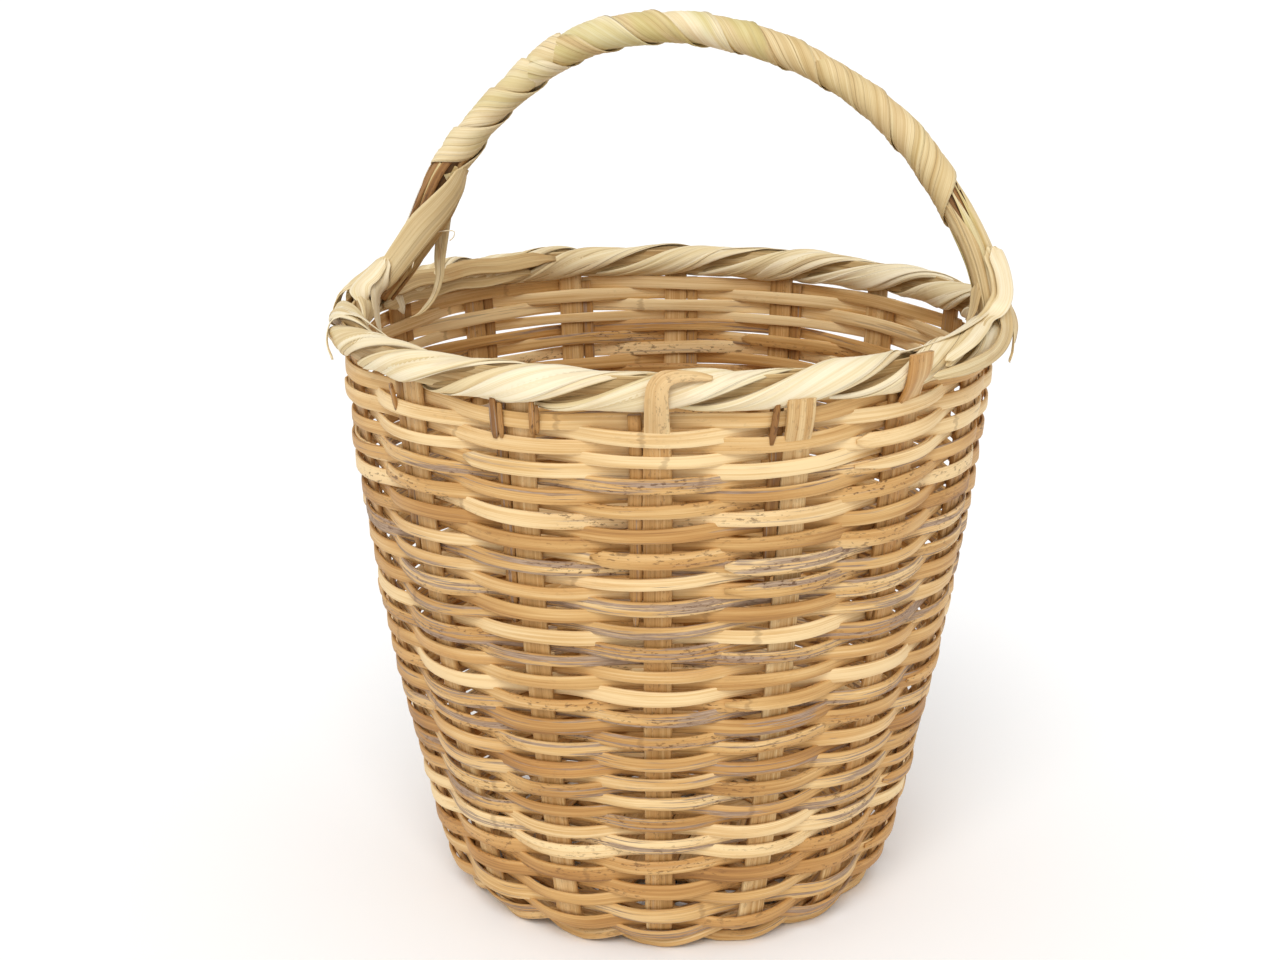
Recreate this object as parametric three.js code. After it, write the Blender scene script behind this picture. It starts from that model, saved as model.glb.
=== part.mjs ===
// A round woven wicker basket with a fixed arched handle.
// Millimetres, +Z up. The origin is on the floor under the basket's centre.
// The handle arches over the basket in the XZ plane, with its feet on the rim at +X and -X.
import * as THREE from 'three';

// ---------------------------------------------------------------- driving dimensions

const STAKE_POSITIONS = 16; // upright stakes around the wall, two ends of each of eight long canes
const STAKE_WIDTH = 11;
const STAKE_THICKNESS = 2.2;
const STAKE_TOP = 266.5; // the stakes end between the two strands of the rim
const BYE_STAKE_WIDTH = 5;
const BYE_STAKE_RANGE = [157, 253]; // heights of its lower and upper end
const CLEARANCE = 0.3; // between two canes that touch on the real basket

const WALL_HEIGHT = 262; // height of the middle of the rim
const WALL_FOOT_RADIUS = 98.7; // the wall's stakes, carried down to the floor
const WALL_TOP_RADIUS = 141.9; // the wall's stakes at the rim
const WALL_BELLY = 6.6; // how far the wall bows out between foot and rim
const CORNER_RADIUS = 18; // the bend of the stakes from base to wall
const CORNER_CENTRE_RADIUS = 85.8;
const BASE_RISE = 2.3; // the base is domed upwards by this much at its centre

const WEAVER_HEIGHT = 4.5;
const WEAVER_THICKNESS = 1.8;
const WALL_PAIRS = 4; // pairs of chasing weavers, one pair above the other
const STAKES_PER_PAIR = 92; // each weaver goes round five and three quarter times
const TOP_ROW_HEIGHT = 249.5; // highest middle of the last row

const FOOT_STRAND_RADIUS = 2.6;
const FOOT_ANGLE = THREE.MathUtils.degToRad(-70); // where the foot sits on the corner bend
const RIM_STRAND_RADIUS = 3.1;
const RIM_STRAND_OFFSET = 4.9; // each strand's distance from the stakes that it passes
const RIM_STRAND_RISE = 3.4; // above or below the other strand, between two stakes

const BASE_CROSS_PITCH = 6; // half the spacing of the four canes side by side
const BASE_CROSS_REACH = 30; // the canes run parallel this far from the centre
const BASE_FAN_RADIUS = 44; // from here on the canes are spread evenly
const BASE_WEAVE_START = 51;
const BASE_WEAVE_END = 83;
const BINDINGS = [ // square ties round the crossing: distance from the centre, and half their length
  { reach: 26.5, corner: 24, spread: 0 },
  { reach: 34.2, corner: 31.6, spread: 1 }, // the canes' two layers have closed up
];

const ROD_RADIUS = 1.8; // the three rods inside the handle
const ROD_RING = 2.25; // each rod's distance from the handle's middle line
const WRAP_INNER_RADIUS = 6.3;
const WRAP_THICKNESS = 0.8;
const WRAP_PITCH = 41; // one turn of a wrapping leaf, along the handle
const WRAP_STEPS_PER_TURN = 9;
const WRAP_CHORDS = 3; // straight sides of the curved section of a wrapping leaf
const WRAP_RANGE = [0.012, 0.955]; // the wrapped part of the middle line, as shares of its length
const WRAP_SPAN = THREE.MathUtils.degToRad(168); // how much of the round each of the two leaves covers
const LASHING_WIDTH = 3.2;
const LASHING_THICKNESS = 1.4;
const LASHING_REACH = [10.2, 11.9]; // half the inward-outward size of the two crossed lashings of a foot
const LASHING_LENGTH = 11.6; // half the slanted size of a lashing
const LASHING_STEPS = 14;
const LASHING_GAP = 0.03; // radians, between the lashing's two ends and its top

// ---------------------------------------------------------------- materials

const stakeCane = { color: 0xd9bd8c, roughness: 0.62, metalness: 0 };
const weaverCane = { color: 0xb98a52, roughness: 0.58, metalness: 0 };
const palmLeaf = { color: 0xd8c59c, roughness: 0.7, metalness: 0 };
const handleCane = { color: 0xa9793f, roughness: 0.6, metalness: 0 };

const basket = new THREE.Group();
basket.name = 'woven_basket';

function addPiece(name, geometry, look) {
  const mesh = new THREE.Mesh(geometry, new THREE.MeshStandardMaterial(look));
  mesh.name = name;
  basket.add(mesh);
}

// ---------------------------------------------------------------- sweeping a section along a route

// A route is a list of places, each with a point, the side that the section's x axis faces,
// and the way that the cane runs there.
class Route extends THREE.Curve {
  constructor(places) {
    super();
    this.places = places;
  }

  getPoint(t) {
    const at = t * (this.places.length - 1);
    const before = Math.min(Math.floor(at), this.places.length - 2);
    return this.places[before].point.clone().lerp(this.places[before + 1].point, at - before);
  }

  getSpacedPoints() {
    return this.places.map((place) => place.point);
  }

  computeFrenetFrames() {
    const tangents = this.places.map((place) => place.along.clone().normalize());
    const binormals = this.places.map((place, i) => tangents[i].clone().cross(place.face).normalize());
    const normals = binormals.map((side, i) => side.clone().cross(tangents[i]).normalize());
    return { tangents, normals, binormals };
  }
}

function sweep(section, places) {
  return new THREE.ExtrudeGeometry(section, {
    steps: places.length - 1,
    extrudePath: new Route(places),
  });
}

// The direction of travel at each point of a list, from its two neighbours.
function directions(points) {
  return points.map((point, i) => {
    const ahead = points[Math.min(i + 1, points.length - 1)];
    const behind = points[Math.max(i - 1, 0)];
    return ahead.clone().sub(behind).normalize();
  });
}

function flatSection(thickness, width) {
  const shape = new THREE.Shape();
  shape.moveTo(-thickness / 2, -width / 2);
  shape.lineTo(thickness / 2, -width / 2);
  shape.lineTo(thickness / 2, width / 2);
  shape.lineTo(-thickness / 2, width / 2);
  shape.closePath();
  return shape;
}

// A regular section with a flat side facing +x.
function roundSection(radius, sides) {
  const points = [];
  for (let i = 0; i < sides; i += 1) {
    const angle = ((i + 0.5) / sides) * 2 * Math.PI;
    points.push(new THREE.Vector2(radius * Math.cos(angle), radius * Math.sin(angle)));
  }
  return new THREE.Shape(points);
}

// ---------------------------------------------------------------- the basket's outline

function wallRadius(z) {
  const share = z / WALL_HEIGHT;
  const straight = THREE.MathUtils.lerp(WALL_FOOT_RADIUS, WALL_TOP_RADIUS, share);
  return straight + WALL_BELLY * Math.sin(Math.PI * share);
}

// The middle line of a stake as (radius, height): domed base, corner bend and wall.
const FOOT_SIDES = 8;
const FOOT_RISE = FOOT_STRAND_RADIUS + 2 * CLEARANCE; // each foot strand above or below the other
const FOOT_OFFSET = STAKE_THICKNESS / 2 + CLEARANCE + FOOT_STRAND_RADIUS;
const FOOT_FLAT = FOOT_STRAND_RADIUS * Math.cos(Math.PI / FOOT_SIDES);
const CORNER_CENTRE = new THREE.Vector2(
  CORNER_CENTRE_RADIUS,
  FOOT_FLAT - Math.sin(FOOT_ANGLE) * (CORNER_RADIUS + FOOT_OFFSET), // so the foot lies on the floor
);
const CORNER_END = -Math.atan((WALL_TOP_RADIUS - WALL_FOOT_RADIUS + Math.PI * WALL_BELLY) / WALL_HEIGHT);
const cornerBottom = new THREE.Vector2(CORNER_CENTRE.x, CORNER_CENTRE.y - CORNER_RADIUS);
const outline = new THREE.CurvePath();
outline.add(new THREE.QuadraticBezierCurve(
  new THREE.Vector2(0, cornerBottom.y + BASE_RISE),
  new THREE.Vector2(cornerBottom.x / 2, cornerBottom.y + BASE_RISE),
  cornerBottom,
));
outline.add(new THREE.EllipseCurve(
  CORNER_CENTRE.x,
  CORNER_CENTRE.y,
  CORNER_RADIUS,
  CORNER_RADIUS,
  -Math.PI / 2,
  CORNER_END,
));
const OUTLINE_TOP = STAKE_TOP + 5;
const cornerTop = outline.curves[1].getPoint(1);
const wallPoints = [cornerTop];
for (const z of [40, 75, 110, 150, 190, 225, WALL_HEIGHT, OUTLINE_TOP]) {
  wallPoints.push(new THREE.Vector2(wallRadius(z), z));
}
outline.add(new THREE.SplineCurve(wallPoints));
const OUTLINE_LENGTH = outline.getLength();
const BASE_LENGTH = outline.curves[0].getLength();
const FOOT_AT = BASE_LENGTH + CORNER_RADIUS * (FOOT_ANGLE + Math.PI / 2);
const CORNER_STEPS = 4;
const WALL_STOPS = [45, 80, 120, 160, 200, 235]; // heights at which an upright's route is set

// The distance along the outline at which the wall reaches a height.
function distanceAtHeight(z) {
  let low = BASE_LENGTH;
  let high = OUTLINE_LENGTH;
  for (let i = 0; i < 40; i += 1) {
    const middle = (low + high) / 2;
    if (outline.getPointAt(middle / OUTLINE_LENGTH).y < z) {
      low = middle;
    } else {
      high = middle;
    }
  }
  return low;
}

// A frame on the basket's surface: distance along the outline, angle round the basket,
// and shifts outwards from the surface, sideways round it and up along it.
function onSurface(distance, angle, out = 0, sideways = 0, up = 0) {
  const flat = outline.getPointAt(distance / OUTLINE_LENGTH);
  const rise = outline.getTangentAt(distance / OUTLINE_LENGTH);
  const radial = new THREE.Vector3(Math.cos(angle), Math.sin(angle), 0);
  const round = new THREE.Vector3(-Math.sin(angle), Math.cos(angle), 0);
  const upward = radial.clone().multiplyScalar(rise.x).setZ(rise.y);
  const outward = radial.clone().multiplyScalar(rise.y).setZ(-rise.x);
  const point = radial.clone().multiplyScalar(flat.x).setZ(flat.y);
  point.addScaledVector(outward, out);
  point.addScaledVector(round, sideways);
  point.addScaledVector(upward, up);
  return { point, outward, upward, round, radius: flat.x };
}

function stakeAngle(position) {
  return ((position + 0.5) / STAKE_POSITIONS) * 2 * Math.PI;
}

// ---------------------------------------------------------------- stakes

// One half of a long cane: from the crossing at the base's centre, out, round the bend and up.
function stakeArm(axisAngle, lane, layer) {
  const places = [];
  const axis = new THREE.Vector3(Math.cos(axisAngle), Math.sin(axisAngle), 0);
  const side = new THREE.Vector3(-Math.sin(axisAngle), Math.cos(axisAngle), 0);
  const down = new THREE.Vector3(0, 0, -1);
  const level = cornerBottom.y + BASE_RISE + layer * (STAKE_THICKNESS + CLEARANCE) / 2;
  const crossEnd = axis.clone().multiplyScalar(BASE_CROSS_REACH);
  crossEnd.addScaledVector(side, lane * BASE_CROSS_PITCH);
  crossEnd.setZ(level);
  places.push({ point: crossEnd, face: down, along: axis });
  const fanAngle = axisAngle + lane * Math.PI / STAKE_POSITIONS;
  const stops = [BASE_FAN_RADIUS, (BASE_FAN_RADIUS + BASE_LENGTH) / 2, BASE_LENGTH];
  for (let i = 1; i <= CORNER_STEPS; i += 1) {
    stops.push(BASE_LENGTH + i / CORNER_STEPS * outline.curves[1].getLength());
  }
  for (const height of [...WALL_STOPS, STAKE_TOP]) {
    stops.push(distanceAtHeight(height));
  }
  for (const stop of stops) {
    const frame = onSurface(stop, fanAngle);
    places.push({ point: frame.point, face: frame.outward, along: frame.upward });
  }
  return places;
}

const LANES = [-3, -1, 1, 3];
let stakeNumber = 1;
for (const [axisAngle, layer] of [[0, -1], [Math.PI / 2, 1]]) {
  for (const lane of LANES) {
    const far = stakeArm(axisAngle, lane, layer);
    const near = stakeArm(axisAngle + Math.PI, -lane, layer).reverse();
    const back = near.map((place) => ({ ...place, along: place.along.clone().negate() }));
    const section = flatSection(STAKE_THICKNESS, STAKE_WIDTH);
    addPiece(`stake_${stakeNumber}`, sweep(section, [...back, ...far]), stakeCane);
    stakeNumber += 1;
  }
}

// Each upright stake has a short, narrower bye-stake pushed in beside it, down from under the rim.
const BYE_SIDE = -1; // to the left of the stake, seen from outside
const BYE_SHIFT = STAKE_WIDTH / 2 + CLEARANCE + BYE_STAKE_WIDTH / 2;
const BYE_STOPS = 5;
for (let position = 0; position < STAKE_POSITIONS; position += 1) {
  const places = [];
  for (let i = 0; i < BYE_STOPS; i += 1) {
    const height = THREE.MathUtils.lerp(...BYE_STAKE_RANGE, i / (BYE_STOPS - 1));
    const stop = distanceAtHeight(height);
    const angle = stakeAngle(position) + BYE_SIDE * BYE_SHIFT / onSurface(stop, 0).radius;
    const frame = onSurface(stop, angle);
    places.push({ point: frame.point, face: frame.outward, along: frame.upward });
  }
  const section = flatSection(STAKE_THICKNESS, BYE_STAKE_WIDTH);
  addPiece(`bye_stake_${position + 1}`, sweep(section, places), stakeCane);
}

// ---------------------------------------------------------------- weavers

// How far a weaver's middle stands off the stakes where it passes over them.
const PASSING_OFFSET = (STAKE_THICKNESS + WEAVER_THICKNESS) / 2 + CLEARANCE;

// A weaver runs straight from one stake to the next. It peaks over the middle of the stakes and
// still clears their edges. A straight run cuts inside the wall's circle, so the outer peaks
// stand further off than the inner ones.
function peakOffset(radius, halfWidth, outer) {
  const spacing = 2 * Math.PI * radius / STAKE_POSITIONS;
  const edge = halfWidth / spacing;
  const stepAngle = 2 * Math.PI / STAKE_POSITIONS;
  const cutInside = radius * stepAngle * stepAngle / 2 * edge * (1 - edge);
  return outer * (PASSING_OFFSET + CLEARANCE) / (1 - 2 * edge) + cutInside;
}

const GROUP_WIDTH = STAKE_WIDTH + CLEARANCE + BYE_STAKE_WIDTH;
const GROUP_SHIFT = BYE_SIDE * (GROUP_WIDTH - STAKE_WIDTH) / 2;
const FIRST_ROW = FOOT_AT + FOOT_RISE + FOOT_STRAND_RADIUS + 2 * CLEARANCE + WEAVER_HEIGHT / 2;
const ROWS = WALL_PAIRS * STAKES_PER_PAIR * 2 / STAKE_POSITIONS;
const ROW_PITCH = (distanceAtHeight(TOP_ROW_HEIGHT) - FIRST_ROW) / (ROWS + 1);
const END_GAP = 0.02; // as a share of the spacing of two stakes

// Where a chasing weaver is after it has passed a number of stakes. Strand 0 passes outside
// the even stakes and strand 1, one row higher, outside the odd ones.
function wallWeaverPlace(strand, passed, outer) {
  const distance = FIRST_ROW + ROW_PITCH * (strand + 2 * passed / STAKE_POSITIONS);
  const angle = stakeAngle(passed);
  const radius = onSurface(distance, angle).radius;
  const out = outer === 0 ? 0 : peakOffset(radius, GROUP_WIDTH / 2 + CLEARANCE, outer);
  const frame = onSurface(distance, angle + GROUP_SHIFT / radius, out);
  return { point: frame.point, face: frame.outward, along: frame.round };
}

function wallWeaver(pair, strand) {
  const first = pair * STAKES_PER_PAIR;
  const places = [wallWeaverPlace(strand, first + 0.5 + END_GAP, 0)];
  for (let passed = first + 1; passed <= first + STAKES_PER_PAIR; passed += 1) {
    places.push(wallWeaverPlace(strand, passed, (passed + strand) % 2 === 0 ? 1 : -1));
  }
  places.push(wallWeaverPlace(strand, first + STAKES_PER_PAIR + 0.5 - END_GAP, 0));
  return sweep(flatSection(WEAVER_THICKNESS, WEAVER_HEIGHT), places);
}

for (let pair = 0; pair < WALL_PAIRS; pair += 1) {
  addPiece(`wall_weaver_${pair + 1}a`, wallWeaver(pair, 0), weaverCane);
  addPiece(`wall_weaver_${pair + 1}b`, wallWeaver(pair, 1), weaverCane);
}

// The base is woven the same way, in a flat spiral. Each pass lies level over a stake's width.
const BASE_TURNS = (BASE_WEAVE_END - BASE_WEAVE_START - ROW_PITCH) / (2 * ROW_PITCH);
const BASE_PASSES = Math.floor(BASE_TURNS * STAKE_POSITIONS);

function baseWeaver(strand) {
  const places = [];
  for (let passed = 0; passed < BASE_PASSES; passed += 1) {
    const outer = (passed + strand) % 2 === 0 ? 1 : -1;
    for (const side of [-1, 1]) {
      const sideways = side * (STAKE_WIDTH / 2 + CLEARANCE);
      const distance = BASE_WEAVE_START + ROW_PITCH * (strand + 2 * passed / STAKE_POSITIONS);
      const frame = onSurface(distance, stakeAngle(passed), outer * PASSING_OFFSET, sideways);
      places.push({ point: frame.point, face: frame.outward, along: frame.round });
    }
  }
  return sweep(flatSection(WEAVER_THICKNESS, WEAVER_HEIGHT), places);
}

addPiece('base_weaver_a', baseWeaver(0), weaverCane);
addPiece('base_weaver_b', baseWeaver(1), weaverCane);

// A binding ties the crossing: over the four canes along X and under the four along Y.
function baseBinding({ reach, corner, spread }) {
  const places = [];
  const crossLevel = THREE.MathUtils.lerp(
    cornerBottom.y + BASE_RISE,
    onSurface(reach, 0).point.z,
    spread,
  );
  const layerShift = (STAKE_THICKNESS + CLEARANCE) / 2 * (1 - spread);
  for (let quarter = 0; quarter < 4; quarter += 1) {
    const angle = quarter * Math.PI / 2;
    const axis = new THREE.Vector3(Math.cos(angle), Math.sin(angle), 0);
    const side = new THREE.Vector3(-Math.sin(angle), Math.cos(angle), 0);
    const above = quarter % 2 === 0 ? 1 : -1;
    const level = crossLevel + above * (PASSING_OFFSET + spread * CLEARANCE - layerShift);
    for (const share of [-1, 1]) {
      const point = axis.clone().multiplyScalar(reach);
      point.addScaledVector(side, share * corner);
      point.setZ(level);
      places.push({ point, face: new THREE.Vector3(0, 0, -1), along: side });
    }
  }
  return sweep(flatSection(WEAVER_THICKNESS, WEAVER_HEIGHT), places);
}

BINDINGS.forEach((binding, i) => {
  addPiece(`base_binding_${i + 1}`, baseBinding(binding), weaverCane);
});

// ---------------------------------------------------------------- foot and rim

// How a twined strand crosses the other between two stakes, as shares of the stakes' spacing,
// of the strand's offset and of its rise.
const TWINE_CROSSING = [
  { share: 0.34, out: 0.4, up: 0.85 },
  { share: 0.5, out: 0, up: 1 },
  { share: 0.66, out: -0.4, up: 0.85 },
];

// Two strands twined round the stakes: at each stake one passes outside and the other inside,
// and they cross between the stakes, one above the other.
function twinedStrand(distance, strand, offset, rise, section, flat, face) {
  const places = [];
  const addPlace = (angle, out, up) => {
    const frame = onSurface(distance, angle, out, 0, up);
    places.push({ point: frame.point, face: face ?? frame.outward, along: frame.round });
  };
  const pitch = 2 * Math.PI / STAKE_POSITIONS;
  const flatAngle = flat / onSurface(distance, 0).radius;
  for (let position = 0; position < STAKE_POSITIONS; position += 1) {
    const outer = (position + strand) % 2 === 0 ? 1 : -1;
    const angle = stakeAngle(position);
    addPlace(angle - flatAngle, outer * offset, 0);
    addPlace(angle + flatAngle, outer * offset, 0);
    for (const { share, out, up } of TWINE_CROSSING) {
      addPlace(angle + pitch * share, outer * offset * out, outer * rise * up);
    }
  }
  const closing = stakeAngle(STAKE_POSITIONS) - flatAngle - END_GAP * pitch;
  addPlace(closing, strand === 0 ? offset : -offset, 0);
  return sweep(section, places);
}

const DOWN = new THREE.Vector3(0, 0, -1);
const LEVEL_HALF = STAKE_WIDTH / 2 + CLEARANCE; // each strand lies level over a stake's width
for (const strand of [0, 1]) {
  const letter = 'ab'[strand];
  const footSection = roundSection(FOOT_STRAND_RADIUS, FOOT_SIDES);
  addPiece(
    `foot_strand_${letter}`,
    twinedStrand(FOOT_AT, strand, FOOT_OFFSET, FOOT_RISE, footSection, LEVEL_HALF, DOWN),
    weaverCane,
  );
  const rimSection = roundSection(RIM_STRAND_RADIUS, 6);
  addPiece(
    `rim_strand_${letter}`,
    twinedStrand(
      distanceAtHeight(WALL_HEIGHT),
      strand,
      RIM_STRAND_OFFSET,
      RIM_STRAND_RISE,
      rimSection,
      LEVEL_HALF,
    ),
    palmLeaf,
  );
}

// ---------------------------------------------------------------- handle

// The handle's middle line in the XZ plane, from the foot at +X to the foot at -X.
const handleLine = new THREE.CatmullRomCurve3([
  new THREE.Vector3(141.5, 0, 278),
  new THREE.Vector3(136, 0, 295),
  new THREE.Vector3(124, 0, 317),
  new THREE.Vector3(102, 0, 346.5),
  new THREE.Vector3(68, 0, 371),
  new THREE.Vector3(31, 0, 384.5),
  new THREE.Vector3(-6, 0, 388),
  new THREE.Vector3(-45, 0, 378.5),
  new THREE.Vector3(-79, 0, 352),
  new THREE.Vector3(-103, 0, 322.5),
  new THREE.Vector3(-116, 0, 296),
  new THREE.Vector3(-121, 0, 287),
]);
const SIDE = new THREE.Vector3(0, 1, 0);
const ARCH_STEPS = 30;

// The rods run together inside the wrapping, and part at the feet to pass on both sides of the rim.
function handleRod(ringAngle, startPoints, endPoints) {
  const points = [...startPoints];
  for (let i = 0; i <= ARCH_STEPS; i += 1) {
    const tangent = handleLine.getTangentAt(i / ARCH_STEPS);
    const inPlane = SIDE.clone().cross(tangent);
    const point = handleLine.getPointAt(i / ARCH_STEPS);
    point.addScaledVector(inPlane, ROD_RING * Math.cos(ringAngle));
    point.addScaledVector(SIDE, ROD_RING * Math.sin(ringAngle));
    points.push(point);
  }
  points.push(...endPoints);
  const along = directions(points);
  const places = points.map((point, i) => ({ point, face: SIDE, along: along[i] }));
  return sweep(roundSection(ROD_RADIUS, 6), places);
}

const OUTER_FOOT = WALL_TOP_RADIUS + RIM_STRAND_RADIUS + ROD_RADIUS + 3 * CLEARANCE;
const INNER_FOOT = WALL_TOP_RADIUS - RIM_STRAND_RADIUS - ROD_RADIUS - 2 * CLEARANCE;
const OUTER_ROD_ANGLE = Math.PI / 3;

for (const [name, side] of [['handle_rod_front', -1], ['handle_rod_back', 1]]) {
  const y = side * ROD_RING * Math.sin(OUTER_ROD_ANGLE);
  const right = [
    new THREE.Vector3(OUTER_FOOT, y, 241),
    new THREE.Vector3(OUTER_FOOT, y, 266),
  ];
  const left = [
    new THREE.Vector3(-138, y, 275.2),
    new THREE.Vector3(-147, y, 270),
    new THREE.Vector3(-OUTER_FOOT, y, 264),
    new THREE.Vector3(-OUTER_FOOT, y, 241),
  ];
  addPiece(name, handleRod(side * OUTER_ROD_ANGLE, right, left), handleCane);
}

const innerRight = [
  new THREE.Vector3(129.5, 0, 229),
  new THREE.Vector3(INNER_FOOT, 0, 257),
  new THREE.Vector3(INNER_FOOT, 0, 267),
];
const innerLeft = [
  new THREE.Vector3(-129, 0, 275),
  new THREE.Vector3(-INNER_FOOT, 0, 266),
  new THREE.Vector3(-INNER_FOOT, 0, 257),
  new THREE.Vector3(-129.5, 0, 229),
];
addPiece('handle_rod_inner', handleRod(Math.PI, innerRight, innerLeft), handleCane);

// A leaf wound round the rods: a thin curved section that turns as it goes along the handle.
function wrapSection() {
  const arc = (radius) => {
    const points = [];
    for (let i = 0; i <= WRAP_CHORDS; i += 1) {
      const angle = (i / WRAP_CHORDS - 0.5) * WRAP_SPAN;
      points.push(new THREE.Vector2(radius * Math.cos(angle), radius * Math.sin(angle)));
    }
    return points;
  };
  const outside = arc(WRAP_INNER_RADIUS + WRAP_THICKNESS);
  return new THREE.Shape([...outside, ...arc(WRAP_INNER_RADIUS).reverse()]);
}

function handleWrap(startAngle) {
  const places = [];
  const length = handleLine.getLength() * (WRAP_RANGE[1] - WRAP_RANGE[0]);
  const steps = Math.round(length / WRAP_PITCH * WRAP_STEPS_PER_TURN);
  for (let i = 0; i <= steps; i += 1) {
    const share = THREE.MathUtils.lerp(WRAP_RANGE[0], WRAP_RANGE[1], i / steps);
    const along = handleLine.getTangentAt(share);
    const inPlane = SIDE.clone().cross(along);
    const turn = startAngle + i / WRAP_STEPS_PER_TURN * 2 * Math.PI;
    const face = inPlane.multiplyScalar(Math.cos(turn));
    face.addScaledVector(SIDE, Math.sin(turn));
    places.push({ point: handleLine.getPointAt(share), face, along });
  }
  return sweep(wrapSection(), places);
}

addPiece('handle_wrap_a', handleWrap(0), palmLeaf);
addPiece('handle_wrap_b', handleWrap(Math.PI), palmLeaf);

// Two crossed lashings tie each foot of the handle to the rim. Each is a loop in a slanted plane,
// round the rim and the rods.
function lashing(foot, slant, reach) {
  const centre = new THREE.Vector3(foot * WALL_TOP_RADIUS, 0, WALL_HEIGHT);
  const outward = new THREE.Vector3(foot, 0, 0);
  const slope = new THREE.Vector3(0, slant, 1).normalize();
  const places = [];
  for (let i = 0; i <= LASHING_STEPS; i += 1) {
    const share = i / LASHING_STEPS;
    const turn = THREE.MathUtils.lerp(LASHING_GAP, 2 * Math.PI - LASHING_GAP, share) + Math.PI / 2;
    const point = centre.clone();
    point.addScaledVector(outward, reach * Math.cos(turn));
    point.addScaledVector(slope, LASHING_LENGTH * Math.sin(turn));
    const face = outward.clone().multiplyScalar(Math.cos(turn) / reach);
    face.addScaledVector(slope, Math.sin(turn) / LASHING_LENGTH);
    const along = outward.clone().multiplyScalar(-reach * Math.sin(turn));
    along.addScaledVector(slope, LASHING_LENGTH * Math.cos(turn));
    places.push({ point, face: face.normalize(), along });
  }
  return sweep(flatSection(LASHING_THICKNESS, LASHING_WIDTH), places);
}

for (const [name, foot] of [['left', -1], ['right', 1]]) {
  addPiece(`lashing_${name}_1`, lashing(foot, 1, LASHING_REACH[0]), palmLeaf);
  addPiece(`lashing_${name}_2`, lashing(foot, -1, LASHING_REACH[1]), palmLeaf);
}

export default basket;
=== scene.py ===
"""The looks of a round woven wicker basket with a fixed arched handle.

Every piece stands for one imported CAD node. Shapes are worked out in millimetres in the CAD frame,
+Z up, and written to the meshes in metres.
"""
import math

import bpy
import numpy as np
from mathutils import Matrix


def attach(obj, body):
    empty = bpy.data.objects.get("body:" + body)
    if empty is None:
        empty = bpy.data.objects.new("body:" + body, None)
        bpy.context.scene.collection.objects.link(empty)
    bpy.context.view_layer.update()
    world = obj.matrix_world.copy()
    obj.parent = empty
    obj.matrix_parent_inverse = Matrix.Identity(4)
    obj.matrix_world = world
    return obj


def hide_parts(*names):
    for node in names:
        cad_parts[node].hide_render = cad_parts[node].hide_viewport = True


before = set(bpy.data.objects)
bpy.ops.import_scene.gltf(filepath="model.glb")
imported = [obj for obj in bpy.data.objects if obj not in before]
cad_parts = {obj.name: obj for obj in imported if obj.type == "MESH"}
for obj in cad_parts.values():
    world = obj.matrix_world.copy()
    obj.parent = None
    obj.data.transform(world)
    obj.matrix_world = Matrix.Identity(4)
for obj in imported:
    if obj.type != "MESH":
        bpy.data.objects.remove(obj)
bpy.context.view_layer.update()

MM = 0.001
TURN = 2 * math.pi
UP = np.array([0.0, 0.0, 1.0])
SIDE = np.array([0.0, 1.0, 0.0])

# ---- driving dimensions, millimetres

POSITIONS = 16  # upright stakes round the wall
STAKE_WIDTH = 11.4
STAKE_THICKNESS = 2.2
BYE_WIDTH = 5.2
BYE_THICKNESS = 2.0
CANE_GAP = 0.3
WALL_HEIGHT = 262.0
WALL_FOOT_RADIUS = 98.7
WALL_TOP_RADIUS = 141.9
WALL_BELLY = 6.6
CORNER_RADIUS = 18.0
CORNER_CENTRE = (85.8, 23.08)
BASE_RISE = 2.3
FOOT_ANGLE = math.radians(-70)
FOOT_STRAND_RADIUS = 2.7
TOP_ROW_HEIGHT = 251.0
PAIRS = 4
PASSES_PER_PAIR = 92
WEAVER_THICKNESS = 1.35
NODE_SPACING = 313.0  # between two nodes of a cane


# ---- small helpers

def hashed(name):
    """A number worked out from a name, so each piece has its own random draws."""
    value = 7
    for letter in name:
        value = (value * 131 + ord(letter)) % 1000003
    return value


def placed(name, data):
    """A new object in the scene."""
    made = bpy.data.objects.new(name, data)
    bpy.context.scene.collection.objects.link(made)
    return made


def ease(low, high, x):
    """0 below low and 1 above high, smoothly."""
    share = np.clip((np.asarray(x, float) - low) / (high - low), 0, 1)
    return share * share * (3 - 2 * share)


def unit(vectors):
    return vectors / np.maximum(np.linalg.norm(vectors, axis=-1, keepdims=True), 1e-9)


def wander(rng, x, wavelength):
    """A smooth random curve of about +-1 along x."""
    total = np.zeros_like(x, dtype=float)
    for octave in range(3):
        scale = TURN / (wavelength / (1.0 + 0.9 * octave))
        total += np.sin(x * scale * rng.uniform(0.8, 1.25) + rng.uniform(0, TURN)) / (1 + octave)
    return total / 1.5


# ---- the basket's surface

def wall_radius(z):
    share = z / WALL_HEIGHT
    straight = WALL_FOOT_RADIUS + (WALL_TOP_RADIUS - WALL_FOOT_RADIUS) * share
    return straight + WALL_BELLY * np.sin(math.pi * share)


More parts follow.
